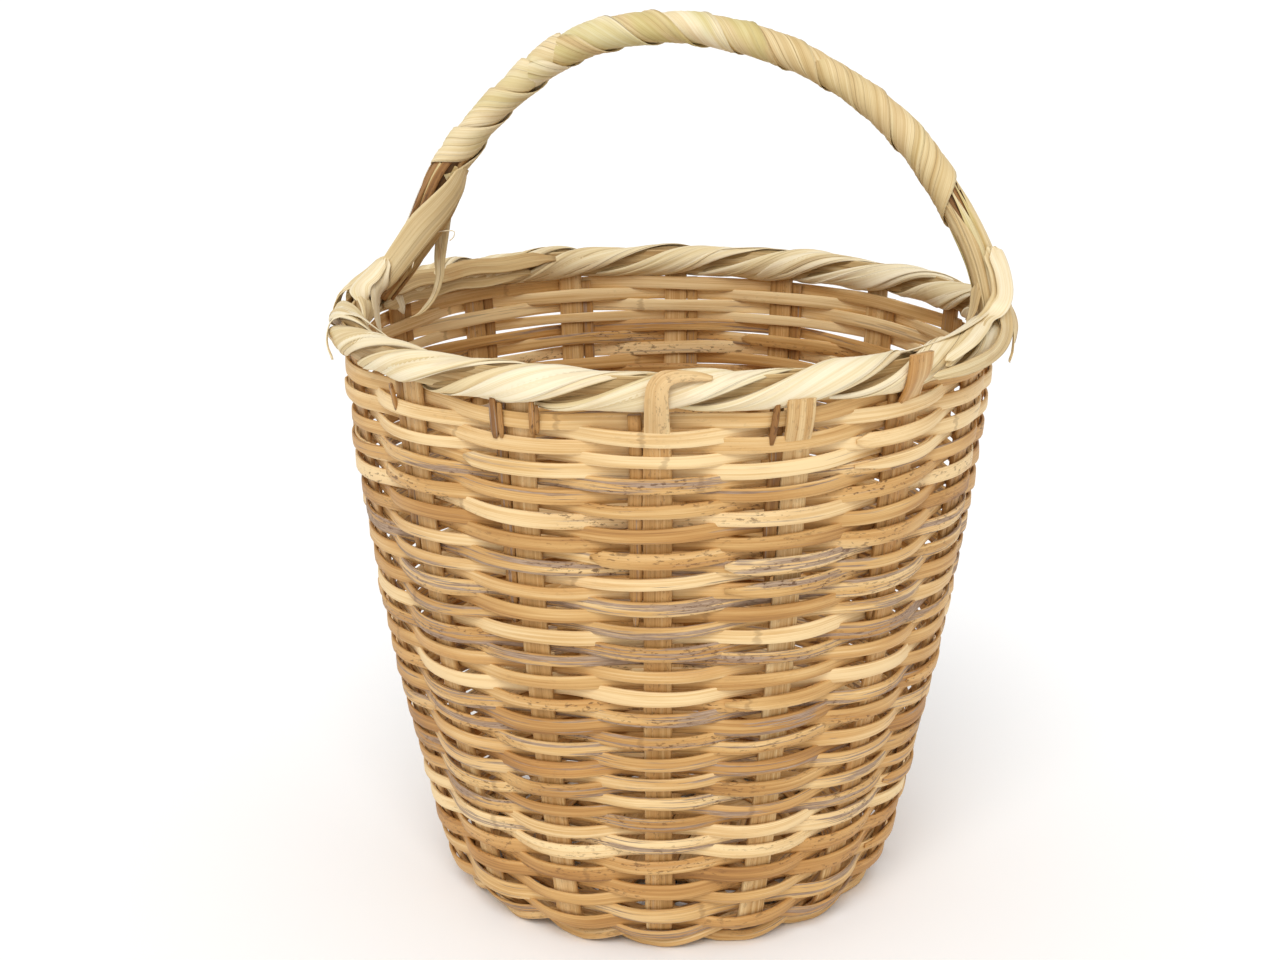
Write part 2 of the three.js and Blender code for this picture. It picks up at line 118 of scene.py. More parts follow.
def basket_outline():
    """The stakes' middle line from the base's centre up to the rim: distance, radius and height."""
    cx, cz = CORNER_CENTRE
    level = cz - CORNER_RADIUS
    t = np.linspace(0, 1, 200)
    base_z = level + BASE_RISE * (1 - t * t)
    slope = (WALL_TOP_RADIUS - WALL_FOOT_RADIUS + math.pi * WALL_BELLY) / WALL_HEIGHT
    turn = np.linspace(-math.pi / 2, -math.atan(slope), 60)
    bend_r = cx + CORNER_RADIUS * np.cos(turn)
    bend_z = cz + CORNER_RADIUS * np.sin(turn)
    wall_z = np.linspace(bend_z[-1] + 2, WALL_HEIGHT + 14, 400)
    radius = np.concatenate([t * cx, bend_r[1:], wall_radius(wall_z)])
    height = np.concatenate([base_z, bend_z[1:], wall_z])
    steps = np.hypot(np.diff(radius), np.diff(height))
    distance = np.concatenate([[0], np.cumsum(steps)])
    even = np.arange(0, distance[-1], 0.5)
    return even, np.interp(even, distance, radius), np.interp(even, distance, height)


def smooth_slope(values):
    slope = np.gradient(values, OUTLINE)
    for _ in range(3):
        slope = np.convolve(np.pad(slope, 4, "edge"), np.ones(9) / 9, "valid")
    return slope


OUTLINE, OUTLINE_R, OUTLINE_Z = basket_outline()
TANGENT_R, TANGENT_Z = smooth_slope(OUTLINE_R), smooth_slope(OUTLINE_Z)
CORNER_STEP = int(np.argmax(OUTLINE_R >= CORNER_CENTRE[0]))
CORNER_AT = float(OUTLINE[CORNER_STEP])
FOOT_AT = CORNER_AT + CORNER_RADIUS * (FOOT_ANGLE + math.pi / 2)


def at_height(z):
    """The distance along the outline at which the wall reaches a height."""
    return float(np.interp(z, OUTLINE_Z[CORNER_STEP:], OUTLINE[CORNER_STEP:]))


def bulge(angle, distance):
    """How far the hand-made wall stands off the true round."""
    rise = ease(150, 260, distance)
    waves = 0.9 * np.sin(2 * angle + 0.4) + 0.6 * np.sin(3 * angle + 2.0 + distance / 95)
    return rise * (waves + 0.35 * np.sin(5 * angle + distance / 47))


def row_drift(angle, distance):
    """How far the rows run above or below level. It fades out at the foot and at the rim."""
    share = ease(105, 150, distance) * (1 - ease(300, 335, distance))
    waves = 1.3 * np.sin(2 * angle + 1.0 + distance / 85)
    waves = waves + 0.8 * np.sin(3 * angle + 2.5 - distance / 55)
    return share * (waves + 0.5 * np.sin(7 * angle + distance / 31))


def on_surface(distance, angle, out=0.0, sideways=0.0, up=0.0):
    """Points on the basket's surface, or off it by some millimetres outwards, round and upwards,
    with the outward and upward directions there."""
    distance, angle = np.broadcast_arrays(np.asarray(distance, float), np.asarray(angle, float))
    columns = OUTLINE_R, OUTLINE_Z, TANGENT_R, TANGENT_Z
    r, z, tr, tz = (np.interp(distance, OUTLINE, column) for column in columns)
    length = np.hypot(tr, tz)
    tr, tz = tr / length, tz / length
    zero = np.zeros_like(r)
    radial = np.stack([np.cos(angle), np.sin(angle), zero], -1)
    around = np.stack([-np.sin(angle), np.cos(angle), zero], -1)
    upward = radial * tr[:, None]
    upward[:, 2] = tz
    outward = radial * tz[:, None]
    outward[:, 2] = -tr
    point = radial * r[:, None]
    point[:, 2] = z
    out = out + bulge(angle, distance)
    for direction, amount in ((outward, out), (around, sideways), (upward, up)):
        point = point + direction * np.broadcast_to(amount, r.shape)[:, None]
    return point, outward, upward


def axes(angle):
    """The level directions along an angle and across it."""
    along = np.array([math.cos(angle), math.sin(angle), 0])
    return along, np.array([-along[1], along[0], 0])


def stake_angle(position):
    return (np.asarray(position, float) + 0.5) / POSITIONS * TURN


# ---- building meshes

class Strips:
    """Gathers closed strips, then makes one mesh of them."""

    def __init__(self, name):
        self.name = name
        self.rng = np.random.default_rng(hashed(name))
        self.rows = {"points": [], "grain": [], "strip": [], "marks": []}
        self.faces = []
        self.count = 0

    def add_grid(self, points, grain, strip, marks):
        """points is (rows, columns, 3), closed round the columns, with a cap at each end.
        grain, strip and marks are what the material reads: strip and marks are one row each."""
        rows, columns = points.shape[:2]
        index = self.count + np.arange(rows * columns).reshape(rows, columns)
        after = np.roll(index, -1, axis=1)
        quads = np.stack([index[:-1], index[1:], after[1:], after[:-1]], -1).reshape(-1, 4)
        first_cap = self.count + rows * columns
        self.faces.extend(quads.tolist())
        self.faces.extend([[first_cap, a, b] for a, b in zip(index[0], after[0])])
        self.faces.extend([[first_cap + 1, b, a] for a, b in zip(index[-1], after[-1])])
        for store, values in zip(self.rows.values(), (points, grain, strip, marks)):
            values = np.broadcast_to(values, points.shape)
            store.append(values.reshape(-1, 3))
            store.append(np.stack([values[0].mean(0), values[-1].mean(0)]))
        self.count = first_cap + 2

    def finish(self, slot):
        """Makes the piece, which stands for the CAD node of the same name."""
        mesh = bpy.data.meshes.new(self.name)
        points = np.concatenate(self.rows.pop("points")) * MM
        mesh.from_pydata(points.tolist(), [], self.faces)
        for name, store in self.rows.items():
            attribute = mesh.attributes.new(name, "FLOAT_VECTOR", "POINT")
            attribute.data.foreach_set("vector", np.concatenate(store).astype(np.float32).ravel())
        mesh.polygons.foreach_set("use_smooth", [True] * len(mesh.polygons))
        mesh.materials.append(LOOKS[slot])
        mesh.update()
        piece = placed(self.name, mesh)
        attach(piece, "root")
        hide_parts(self.name)


# A split cane's section: a crowned outer face, rounded edges and a flatter inner face.
CANE_SECTION = np.array([
    (1.0, -0.6), (0.9, -1.0), (0.3, -1.03), (-0.3, -1.03), (-0.9, -1.0), (-1.0, -0.6),
    (-1.0, 0.55), (-0.92, 0.94), (-0.4, 1.1), (0.4, 1.1), (0.92, 0.94), (1.0, 0.55),
])


def round_section(sides):
    turn = -np.arange(sides) / sides * TURN
    return np.stack([np.cos(turn), np.sin(turn)], -1)


def frames_along(centre, face):
    """The face and side directions square to a line. face may be one direction for all of it."""
    tangent = unit(np.gradient(centre, axis=0))
    face = unit(face - tangent * np.sum(face * tangent, -1, keepdims=True))
    return face, np.cross(face, tangent)


def run_length(centre):
    return np.concatenate([[0], np.cumsum(np.linalg.norm(np.diff(centre, axis=0), axis=1))])


def sweep(strips, centre, face, width, thickness, strip, marks, section=CANE_SECTION, start=0.0):
    """A section carried along a line. Its x runs across the strip and its y along face."""
    face, side = frames_along(centre, face)
    across = np.broadcast_to(width, len(centre))[:, None] / 2 * section[::-1, 0]
    depth = np.broadcast_to(thickness, len(centre))[:, None] / 2 * section[::-1, 1]
    points = centre[:, None] + side[:, None] * across[..., None] + face[:, None] * depth[..., None]
    along = np.broadcast_to((start + run_length(centre))[:, None], across.shape)
    strips.add_grid(points, np.stack([along, across, depth], -1), strip, marks)


def read_rows(places, run, rows):
    """Rows of numbers given at the steps of run, read at other places along it."""
    return np.stack([np.interp(places, run, column) for column in rows.T], -1)


def smooth_curve(controls, spacing):
    """A centripetal Catmull-Rom curve through points of any dimension, at even steps."""
    controls = np.asarray(controls, float)
    ends = [2 * controls[0] - controls[1], *controls, 2 * controls[-1] - controls[-2]]
    pieces = []
    for p0, p1, p2, p3 in zip(ends, ends[1:], ends[2:], ends[3:]):
        knots = [0.0]
        for a, b in ((p0, p1), (p1, p2), (p2, p3)):
            knots.append(knots[-1] + max(np.linalg.norm((b - a)[:3]), 1e-6) ** 0.5)
        t0, t1, t2, t3 = knots
        t = np.linspace(t1, t2, 24, endpoint=False)[:, None]

        def mix(a, b, low, high):
            return a * (high - t) / (high - low) + b * (t - low) / (high - low)

        before, middle, after = mix(p0, p1, t0, t1), mix(p1, p2, t1, t2), mix(p2, p3, t2, t3)
        pieces.append(mix(mix(before, middle, t0, t2), mix(middle, after, t1, t3), t1, t2))
    dense = np.concatenate([*pieces, controls[-1:]])
    run = run_length(dense[:, :3])
    even = np.linspace(0, run[-1], max(4, int(run[-1] / spacing)))
    return read_rows(even, run, dense)


def end_taper(run, length, start_length, end_length, least=0.3):
    """1 along a strip, falling smoothly at its two ends."""
    factor = np.ones_like(run)
    if start_length:
        factor = np.minimum(factor, least + (1 - least) * ease(0, start_length, run))
    if end_length:
        factor = np.minimum(factor, least + (1 - least) * ease(0, end_length, length - run))
    return factor


# ---- materials

def linear(red, green, blue):
    """A colour given as it looks on a screen, 0 to 255."""
    shares = [value / 255 for value in (red, green, blue)]
    return [s / 12.92 if s <= 0.04045 else ((s + 0.055) / 1.055) ** 2.4 for s in shares] + [1.0]


LOOKS = {}  # the material for each of the record's slots
SEED_SPREAD = 173.0  # how far apart in the noise two strips may lie
BUMP_DEPTH = 0.0004  # metres
SHEEN = 0.35


class Shader:
    """A material made of nodes, for one of the record's slots."""

    def __init__(self, name):
        self.name = name
        self.material = bpy.data.materials.new(name)
        self.material.use_nodes = True
        self.tree = self.material.node_tree
        self.surface = self.tree.nodes["Principled BSDF"]
        self.grain = self.attribute("grain")
        self.seed, *self.strip = self.attribute("strip")
        self.marks = self.attribute("marks")

    def node(self, kind, inputs, output=0, **settings):
        made = self.tree.nodes.new(kind)
        for name, value in settings.items():
            setattr(made, name, value)
        for key, value in inputs.items():
            socket = made.inputs[key]
            if isinstance(value, bpy.types.NodeSocket):
                self.tree.links.new(value, socket)
            else:
                socket.default_value = value
        return made.outputs[output]

    def math(self, operation, *values):
        return self.node("ShaderNodeMath", dict(enumerate(values)), operation=operation)

    def times(self, first, second):
        return self.math("MULTIPLY", first, second)

    def plus(self, first, second):
        return self.math("ADD", first, second)

    def minus(self, first, second):
        return self.math("SUBTRACT", first, second)

    def attribute(self, name):
        vector = self.node("ShaderNodeAttribute", {}, "Vector", attribute_name=name)
        return self.node("ShaderNodeSeparateXYZ", {0: vector}).node.outputs

    def noise(self, scales, detail=2.0, roughness=0.5):
        """Noise in the strip's own grain, stretched by scales (along, across, depth)."""
        scaled = [self.times(part, scale) for part, scale in zip(self.grain, scales)]
        vector = self.node("ShaderNodeCombineXYZ", dict(enumerate(scaled)))
        shift = self.times(self.seed, SEED_SPREAD)
        inputs = {"Vector": vector, "W": shift, "Scale": 1, "Detail": detail, "Roughness": roughness}
        return self.node("ShaderNodeTexNoise", inputs, 0, noise_dimensions="4D")

    def span(self, value, low, high, to_low=0.0, to_high=1.0):
        inputs = {"Value": value, "From Min": low, "From Max": high, "To Min": to_low, "To Max": to_high}
        return self.node("ShaderNodeMapRange", inputs, interpolation_type="SMOOTHSTEP")

    def blend(self, factor, first, second, mode="MIX"):
        inputs = {0: factor, 6: first, 7: second}
        return self.node("ShaderNodeMix", inputs, 2, data_type="RGBA", blend_type=mode)

    def ramp(self, value, stops):
        result = self.node("ShaderNodeValToRGB", {0: value})
        elements = result.node.color_ramp.elements
        while len(elements) < len(stops):
            elements.new(0.5)
        for element, (place, colour) in zip(elements, stops):
            element.position = place
            element.color = linear(*colour)
        return result

    def finish(self, colour, roughness, height, strength):
        inputs = {"Height": height, "Strength": strength, "Distance": BUMP_DEPTH}
        bump = self.node("ShaderNodeBump", inputs)
        for name, socket in (("Base Color", colour), ("Roughness", roughness), ("Normal", bump)):
            self.tree.links.new(socket, self.surface.inputs[name])
        self.surface.inputs["Specular IOR Level"].default_value = SHEEN
        LOOKS[self.name] = self.material


def cane(name, shades, orange=(200, 142, 76)):
    """Split cane: fibres along the strip, patches of tone, grey bark, dark specks and nodes."""
    s = Shader(name)
    tone, bark = s.strip
    warm, speck, shade = s.marks
    fibre = s.noise((0.022, 2.6, 2.6), 4.0, 0.62)
    streak = s.noise((0.012, 0.7, 0.9))
    patch = s.noise((0.016, 0.12, 0.12))
    level = s.plus(tone, s.span(fibre, 0.25, 0.75, -0.17, 0.17))
    level = s.plus(level, s.span(streak, 0.25, 0.75, -0.14, 0.14))
    level = s.plus(level, s.span(patch, 0.3, 0.7, -0.16, 0.16))
    colour = s.ramp(level, list(zip((0.0, 0.3, 0.62, 1.0), shades)))
    glow = s.times(warm, s.span(s.noise((0.02, 0.2, 0.2)), 0.35, 0.65, 0.25, 1.0))
    colour = s.blend(s.times(glow, 0.45), colour, linear(*orange))
    bark_field = s.noise((0.02, 0.7, 0.7), 3.0, 0.6)
    bark_mask = s.span(s.plus(bark_field, s.times(bark, 0.13)), 0.61, 0.66)
    bark_mask = s.times(bark_mask, s.span(bark, 0.02, 0.15))
    bark_grain = s.noise((0.1, 3.2, 3.2), 4.0, 0.7)
    bark_colour = s.ramp(bark_grain, [
        (0.3, (98, 74, 54)), (0.44, (140, 116, 98)), (0.57, (172, 148, 130)), (0.75, (206, 184, 156)),
    ])
    colour = s.blend(s.times(bark_mask, 0.86), colour, bark_colour)
    zone = s.span(s.noise((0.02, 0.1, 0.1), 1.0), 0.42, 0.56)
    spots = s.span(s.noise((0.34, 0.95, 0.95), 3.0, 0.65), 0.55, 0.63)
    spots = s.times(s.times(spots, zone), speck)
    colour = s.blend(s.times(spots, 0.82), colour, linear(92, 58, 30))
    spacings = s.math("DIVIDE", s.grain[0], NODE_SPACING)
    ring_at = s.math("FRACT", s.plus(spacings, s.times(s.seed, 7.0)))
    wavy = s.times(s.minus(s.noise((0.2, 0.7, 0.7)), 0.5), 0.02)
    ring = s.math("ABSOLUTE", s.minus(s.plus(ring_at, wavy), 0.5))
    ring = s.span(ring, 0.0015, 0.006, 1.0, 0.0)
    colour = s.blend(s.times(ring, 0.32), colour, linear(112, 76, 42))
    colour = s.blend(shade, colour, linear(96, 62, 34), "MULTIPLY")
    height = s.plus(s.times(fibre, 0.6), s.times(bark_grain, bark_mask))
    height = s.minus(height, s.times(spots, 0.5))
    rough = s.plus(s.span(fibre, 0.2, 0.8, 0.46, 0.62), s.times(bark_mask, 0.2))
    s.finish(colour, rough, height, 0.55)


def leaf(name, shades):
    """Palm leaf: fine straight ribs along the leaf, thin lines darkened as painted shade in its creases,
    yellow-green and brown patches, and painted shade from the shade mark.
    """
    s = Shader(name)
    tone, green = s.strip
    brown, crease, shade = s.marks
    ribs = s.noise((0.006, 3.4, 1.0), 3.0, 0.6)
    broad = s.noise((0.012, 0.5, 0.3))
    patch = s.noise((0.03, 0.1, 0.1))
    lines = s.span(s.noise((0.004, 1.3, 0.5), 1.0), 0.6, 0.68)
    level = s.plus(tone, s.span(ribs, 0.25, 0.75, -0.15, 0.15))
    level = s.plus(level, s.span(broad, 0.3, 0.7, -0.14, 0.14))
    colour = s.ramp(level, list(zip((0.0, 0.35, 0.7, 1.0), shades)))
    moss = s.times(green, s.span(patch, 0.4, 0.62))
    colour = s.blend(s.times(moss, 0.6), colour, linear(190, 184, 104))
    tan = s.times(brown, s.span(s.noise((0.05, 0.25, 0.2), 3.0), 0.5, 0.66))
    colour = s.blend(s.times(tan, 0.7), colour, linear(176, 126, 66))
    # painted shade in the creases: thin lines along the leaf darkened towards brown, and pressed in by
    # the bump below
    crease_shade_lines = s.times(lines, crease)
    colour = s.blend(s.times(crease_shade_lines, 0.6), colour, linear(140, 104, 58))
    colour = s.blend(shade, colour, linear(120, 84, 44), "MULTIPLY")
    height = s.minus(s.times(ribs, 0.8), s.times(lines, 0.8))
    rough = s.span(ribs, 0.2, 0.8, 0.5, 0.66)
    s.finish(colour, rough, height, 0.5)


cane("weaver_cane", [(138, 94, 48), (182, 134, 74), (212, 170, 108), (241, 212, 160)])
cane("stake_cane", [(120, 80, 40), (160, 118, 64), (194, 152, 94), (232, 204, 152)], (196, 134, 66))
cane("handle_cane", [(96, 62, 32), (140, 98, 54), (178, 136, 84), (206, 170, 118)])
leaf("palm_leaf", [(150, 112, 62), (200, 168, 114), (229, 207, 160), (244, 230, 198)])


# ---- weavers

BYE_START = FOOT_AT + 6.6
FIRST_ROW = BYE_START + 2.25
ROWS = PAIRS * PASSES_PER_PAIR * 2 / POSITIONS
LAST_ROW = at_height(TOP_ROW_HEIGHT)
ROW_PITCH = (LAST_ROW - FIRST_ROW) / (ROWS + 1)
BYE_LOW = 154.0  # height at which the bye-stakes begin
GROUP_SHIFT = -(BYE_WIDTH + CANE_GAP) / 2  # of a stake and its bye-stake's middle
SAMPLES_PER_PASS = 10


def level_ends(angle, distance):
    """The rows climb as they go round. Near the foot and the rim they are eased level with them."""
    top = ease(LAST_ROW - 75, LAST_ROW, distance) * (0.42 + 0.36 * np.sin(angle))
    bottom = (1 - ease(FIRST_ROW, FIRST_ROW + 50, distance)) * (0.5 - 0.36 * np.sin(angle))
    return 2 * ROW_PITCH * (top - bottom)


def strip_look(rng, height):
    """The tone of one cane strip: paler near the rim, more mottled lower down."""
    low = 1 - float(ease(200, 240, height))
    kind = rng.uniform()
    tone = rng.uniform(0.56, 0.84)
    if kind < 0.2 * low:
        tone = rng.uniform(0.26, 0.46)
    elif kind < 0.6 * low:
        tone = rng.uniform(0.44, 0.62)
    elif kind > 0.84:
        tone = rng.uniform(0.86, 1.0)
    bark = rng.uniform(0.35, 1.0) if rng.uniform() < 0.06 + 0.5 * low else rng.uniform(0, 0.1)
    warm = rng.uniform(0.0, 0.35 + 0.5 * low)
    speck = rng.uniform(0.5, 1.0) if rng.uniform() < 0.15 + 0.45 * low else rng.uniform(0, 0.2)
    return tone, bark, warm, speck


def over_under(t, strand):
    """A weaver's place at each pass: 1 outside a stake and -1 inside the next, flattened there."""
    wave = np.cos(math.pi * (t + strand))
    return wave * (1.25 - 0.25 * wave * wave)


def near_nodes(rng, run, reach):
    """1 at a cane's nodes, and 0 further from them than a share of their spacing."""
    away = np.abs(((run / NODE_SPACING + rng.uniform()) % 1) - 0.5)
    return 1 - ease(0.002, reach, away)


def weaver_strip(strips, strand, start, stop, opening, closing):
    """One cane from pass start to pass stop. Where it joins the one before, it lies outside it."""
    rng = strips.rng
    t = np.linspace(start, stop, int((stop - start) * SAMPLES_PER_PASS) + 2)
    distance = FIRST_ROW + ROW_PITCH * (strand + 2 * t / POSITIONS)
    wave = over_under(t, strand)
    angle = stake_angle(t)
    distance = distance + row_drift(angle, distance) + level_ends(angle, distance)
    height = np.interp(distance, OUTLINE, OUTLINE_Z)
    low = 1 - ease(60, 230, height)
    outer = 2.9 + 0.3 * wander(rng, t, 3.0)
    out = np.where(wave > 0, outer, 2.5) * wave - 0.5 * (1 - wave * wave)
    up = -wave * (0.1 + 0.15 * low) + 0.7 * wander(rng, t, 4.0)
    radius = np.interp(distance, OUTLINE, OUTLINE_R)
    run = (t - start) * TURN * radius / POSITIONS
    joint = WEAVER_THICKNESS * 0.95  # one cane's end lies this far outside the other's
    if opening:
        out = out + joint * (1 - ease(start + 0.6, start + 1.35, t))
        up = up + rng.uniform(0.3, 1.3) * (1 - ease(start + 0.8, start + 2.2, t))
    if closing:
        out = out - joint * ease(stop - 1.3, stop - 0.5, t)
    shift = GROUP_SHIFT * ease(BYE_LOW, BYE_LOW + 30, height) / radius
    point, outward, upward = on_surface(distance, angle + shift, out, 0, up)
    tilt = 0.1 * wander(rng, t, 4.0) + 0.06
    face = outward * np.cos(tilt)[:, None] + upward * np.sin(tilt)[:, None]
    taper = end_taper(run, run[-1], rng.choice([3.0, 16.0]), rng.choice([3.0, 14.0]))
    width = rng.choice([rng.uniform(4.8, 5.7), rng.uniform(5.7, 6.9)], p=[0.3, 0.7])
    width = (width + 0.35 * float(low.mean())) * (1 + 0.09 * wander(rng, t, 2.6)) * taper
    swell = 1 + 0.16 * near_nodes(rng, run, 0.02)
    thickness = WEAVER_THICKNESS * rng.uniform(0.85, 1.15) * swell * (0.45 + 0.55 * taper)
    tone, bark, warm, speck = strip_look(rng, float(height.mean()))
    strip = (rng.uniform(), tone, bark)
    marks = (warm, speck, 0.0)
    section = CANE_SECTION * (1, rng.uniform(0.9, 1.1))
    sweep(strips, point, face, width, thickness, strip, marks, section, rng.uniform(0, 900))


def weaver_breaks(rng, strand):
    """Where one cane of a strand ends and the next begins: at passes inside the stakes."""
    total = PAIRS * PASSES_PER_PAIR
    breaks = [0.52]
    while True:
        at = breaks[-1] + rng.uniform(9, 21)
        inside = 2 * round((at + strand - 1) / 2) + 1 - strand
        if inside > total - 7:
            break
        breaks.append(float(inside))
    return breaks + [total + 0.48]


def make_weavers():
    pieces = [[Strips(f"wall_weaver_{pair + 1}{letter}") for pair in range(PAIRS)] for letter in "ab"]
    for strand in (0, 1):
        breaks = weaver_breaks(np.random.default_rng(41 + strand), strand)
        for i in range(len(breaks) - 1):
            opening, closing = i > 0, i < len(breaks) - 2
            start = breaks[i] - (1.45 if opening else 0)
            stop = breaks[i + 1] + (0.4 if closing else 0)
            pair = min(int(breaks[i] / PASSES_PER_PAIR + 0.06), PAIRS - 1)
            weaver_strip(pieces[strand][pair], strand, start, stop, opening, closing)
    for strips in pieces[0] + pieces[1]:
        strips.finish("weaver_cane")


make_weavers()


# ---- stakes

LANE_PITCH = 6.0
CROSS_REACH = 30.0
FAN_RADIUS = 44.0
STAKE_TOP = 266.0
STAKE_ENDS = {  # position: height of the top, stand-off and shift round there
    12: (248.0, 1.5, 0.0), 13: (259.0, 6.6, -1.5), 14: (271.5, 10.0, -6.0),
}


def stake_arm(axis_angle, lane, layer):
    """Half of a long cane, from the base's middle, round the bend and up to its end."""
    axis, side = axes(axis_angle)
    fan = axis_angle + lane * math.pi / POSITIONS
    position = round(fan / TURN * POSITIONS - 0.5) % POSITIONS
    top, stand_off, shift = STAKE_ENDS.get(position, (STAKE_TOP, 0.0, 0.0))
    last = at_height(top)
    distance = np.concatenate([
        np.linspace(0, FAN_RADIUS + 8, 14),
        np.linspace(FAN_RADIUS + 10, at_height(40.0), 22),
        np.arange(at_height(44.0), last, 4.5),
        [last],
    ])
    leaning = ease(last - 26, last - 6, distance)
    fanned, outward, _ = on_surface(distance, fan, stand_off * leaning, shift * leaning)
    lanes = axis * distance[:, None] + side * (lane * LANE_PITCH)
    lanes[:, 2] = np.interp(distance, OUTLINE, OUTLINE_Z)
    share = ease(CROSS_REACH - 6, FAN_RADIUS + 6, distance)[:, None]
    point = lanes * (1 - share) + fanned * share
    point[:, 2] += layer * 1.25 * (1 - share[:, 0])
    face = -UP * (1 - share) + outward * share
    return point, face, distance


FOLDED_STAKE = 6
CUT_STAKE = 1  # its end stands wide and bare outside the rim


def near_rim(position, steps):
    """Control points near the rim from (height, stand-off, shift round, face out, face up)."""
    points, faces = [], []
    for z, out, shift, face_out, face_up in steps:
        angle = float(stake_angle(position)) + shift / WALL_TOP_RADIUS
        point, outward, upward = on_surface([at_height(z)], [angle], out)
        points.append(point[0])
        faces.append(outward[0] * face_out + upward[0] * face_up)
    return np.array(points), unit(np.array(faces))


def folded_end(strips, position, marks):
    """A stake's end that comes up outside the rim, bends over in its own plane and runs right."""
    points, faces = near_rim(position, [
        (236, 0.6, 0, 1, 0), (246, 2.6, 0, 1, 0), (255, 7.8, 0, 1, 0), (262, 10.2, 0, 1, 0.05),
        (266.5, 10.2, 0.5, 1, 0.15), (269.4, 9.6, 2.4, 1, 0.3), (270.4, 8.6, 5.5, 0.9, 0.5),
        (270.4, 7.4, 10, 0.8, 0.65), (269.8, 6.4, 15, 0.7, 0.7), (268.6, 5.4, 20, 0.7, 0.7),
    ])
    widths = np.array([10.4, 10.2, 9.6, 9.0, 8.6, 7.4, 5.4, 4.4, 3.6, 1.6])[:, None]
    curve = smooth_curve(np.concatenate([points, faces, widths], 1), 1.2)
    strip = (0.31, 0.9, 0.05)
    sweep(strips, curve[:, :3], curve[:, 3:6], curve[:, 6], 1.7, strip, marks)


def frayed_end(strips, position, pieces):
    """Thin dark strips beside a stake, just under the rim: height, length, shift round and width."""
    rng = strips.rng
    for top, length, shift, width in pieces:
        heights = np.linspace(top - length, top, 6)
        lean = shift + np.linspace(-0.6, 0.6, 6)
        steps = [(z, 3.2 + 2.4 * i / 5, lean[i], 1, 0) for i, z in enumerate(heights)]
        points, faces = near_rim(position, steps)
        strip = (rng.uniform(), rng.uniform(0.1, 0.45), rng.uniform(0.0, 0.6))
        taper = width * np.array([0.5, 1, 1, 1, 0.9, 0.6])
        sweep(strips, points, faces, taper, 1.2, strip, (0.7, 1.0, 0.0))


def make_stakes():
    number = 1
    for axis_angle, layer in ((0.0, -1), (math.pi / 2, 1)):
        for lane in (-3, -1, 1, 3):
            strips = Strips(f"stake_{number}")
            rng = strips.rng
            far, far_face, far_d = stake_arm(axis_angle, lane, layer)
            near, near_face, near_d = stake_arm(axis_angle + math.pi, -lane, layer)
            point = np.concatenate([near[:0:-1], far])
            face = np.concatenate([near_face[:0:-1], far_face])
            signed = np.concatenate([-near_d[:0:-1], far_d])
            width = STAKE_WIDTH * (1 + 0.04 * wander(rng, signed, 90.0))
            width = width * (1 + 0.05 * near_nodes(rng, signed, 0.03))
            if number == CUT_STAKE:
                width = width * (1 + 0.2 * ease(signed[-1] - 60, signed[-1] - 20, signed))
            strip = (rng.uniform(), rng.uniform(0.5, 0.8), rng.uniform(0, 0.1))
            warm = 1.0 if number == CUT_STAKE else rng.uniform(0.2, 0.7)
            marks = (warm, rng.uniform(0.2, 0.6), 0.0)
            sweep(strips, point, face, width, STAKE_THICKNESS, strip, marks)
            if number == FOLDED_STAKE:
                folded_end(strips, 12, marks)
            strips.finish("stake_cane")
            number += 1


FRAYED = {  # by position: height of the top, length, shift round, width
    11: [(256.5, 17, -9.2, 3.6), (255.0, 15, -6.3, 2.2), (257.0, 14, 7.4, 2.6), (255.5, 12, 9.4, 1.6)],
    13: [(258.0, 18, -11.0, 2.8)],
    10: [(254.0, 12, -8.0, 2.4)],
}


def make_bye_stakes():
    for position in range(POSITIONS):
        strips = Strips(f"bye_stake_{position + 1}")
        rng = strips.rng
        first, last = at_height(BYE_LOW + rng.uniform(0, 25)), at_height(WALL_HEIGHT - 7)
        distance = np.arange(first, last, 4.0)
        radius = np.interp(distance, OUTLINE, OUTLINE_R)
        beside = STAKE_WIDTH / 2 + CANE_GAP + BYE_WIDTH / 2
        shift = (beside + 0.3 * wander(rng, distance, 60.0)) / radius
        point, outward, _ = on_surface(distance, stake_angle(position) - shift)
        run = distance - distance[0]
        width = BYE_WIDTH * (1 + 0.08 * wander(rng, distance, 50.0)) * end_taper(run, run[-1], 18.0, 0)
        strip = (rng.uniform(), rng.uniform(0.2, 0.6), rng.uniform(0, 0.5))
        marks = (rng.uniform(0.3, 0.9), rng.uniform(0.1, 0.8), 0.0)
        sweep(strips, point, outward, width, BYE_THICKNESS, strip, marks)
        frayed_end(strips, position, FRAYED.get(position, []))
        strips.finish("stake_cane")


make_stakes()
make_bye_stakes()

# ---- base

BASE_START = 51.0
BASE_END = 89.5
CANE_OFFSET = 2.3  # a cane's distance from the stakes' middle as it passes over or under
BASE_CANE_WIDTH = 4.7
BINDING_WIDTH = 4.6
BINDING_LIFT = 1.3
CORNER_INSET = 1.5
BINDINGS = (  # distance from the centre, half length, corner and share of the cane's offset
    (26.5, 24.0, 7.0, 0.2), (34.2, 31.6, 7.0, 1.0),
)


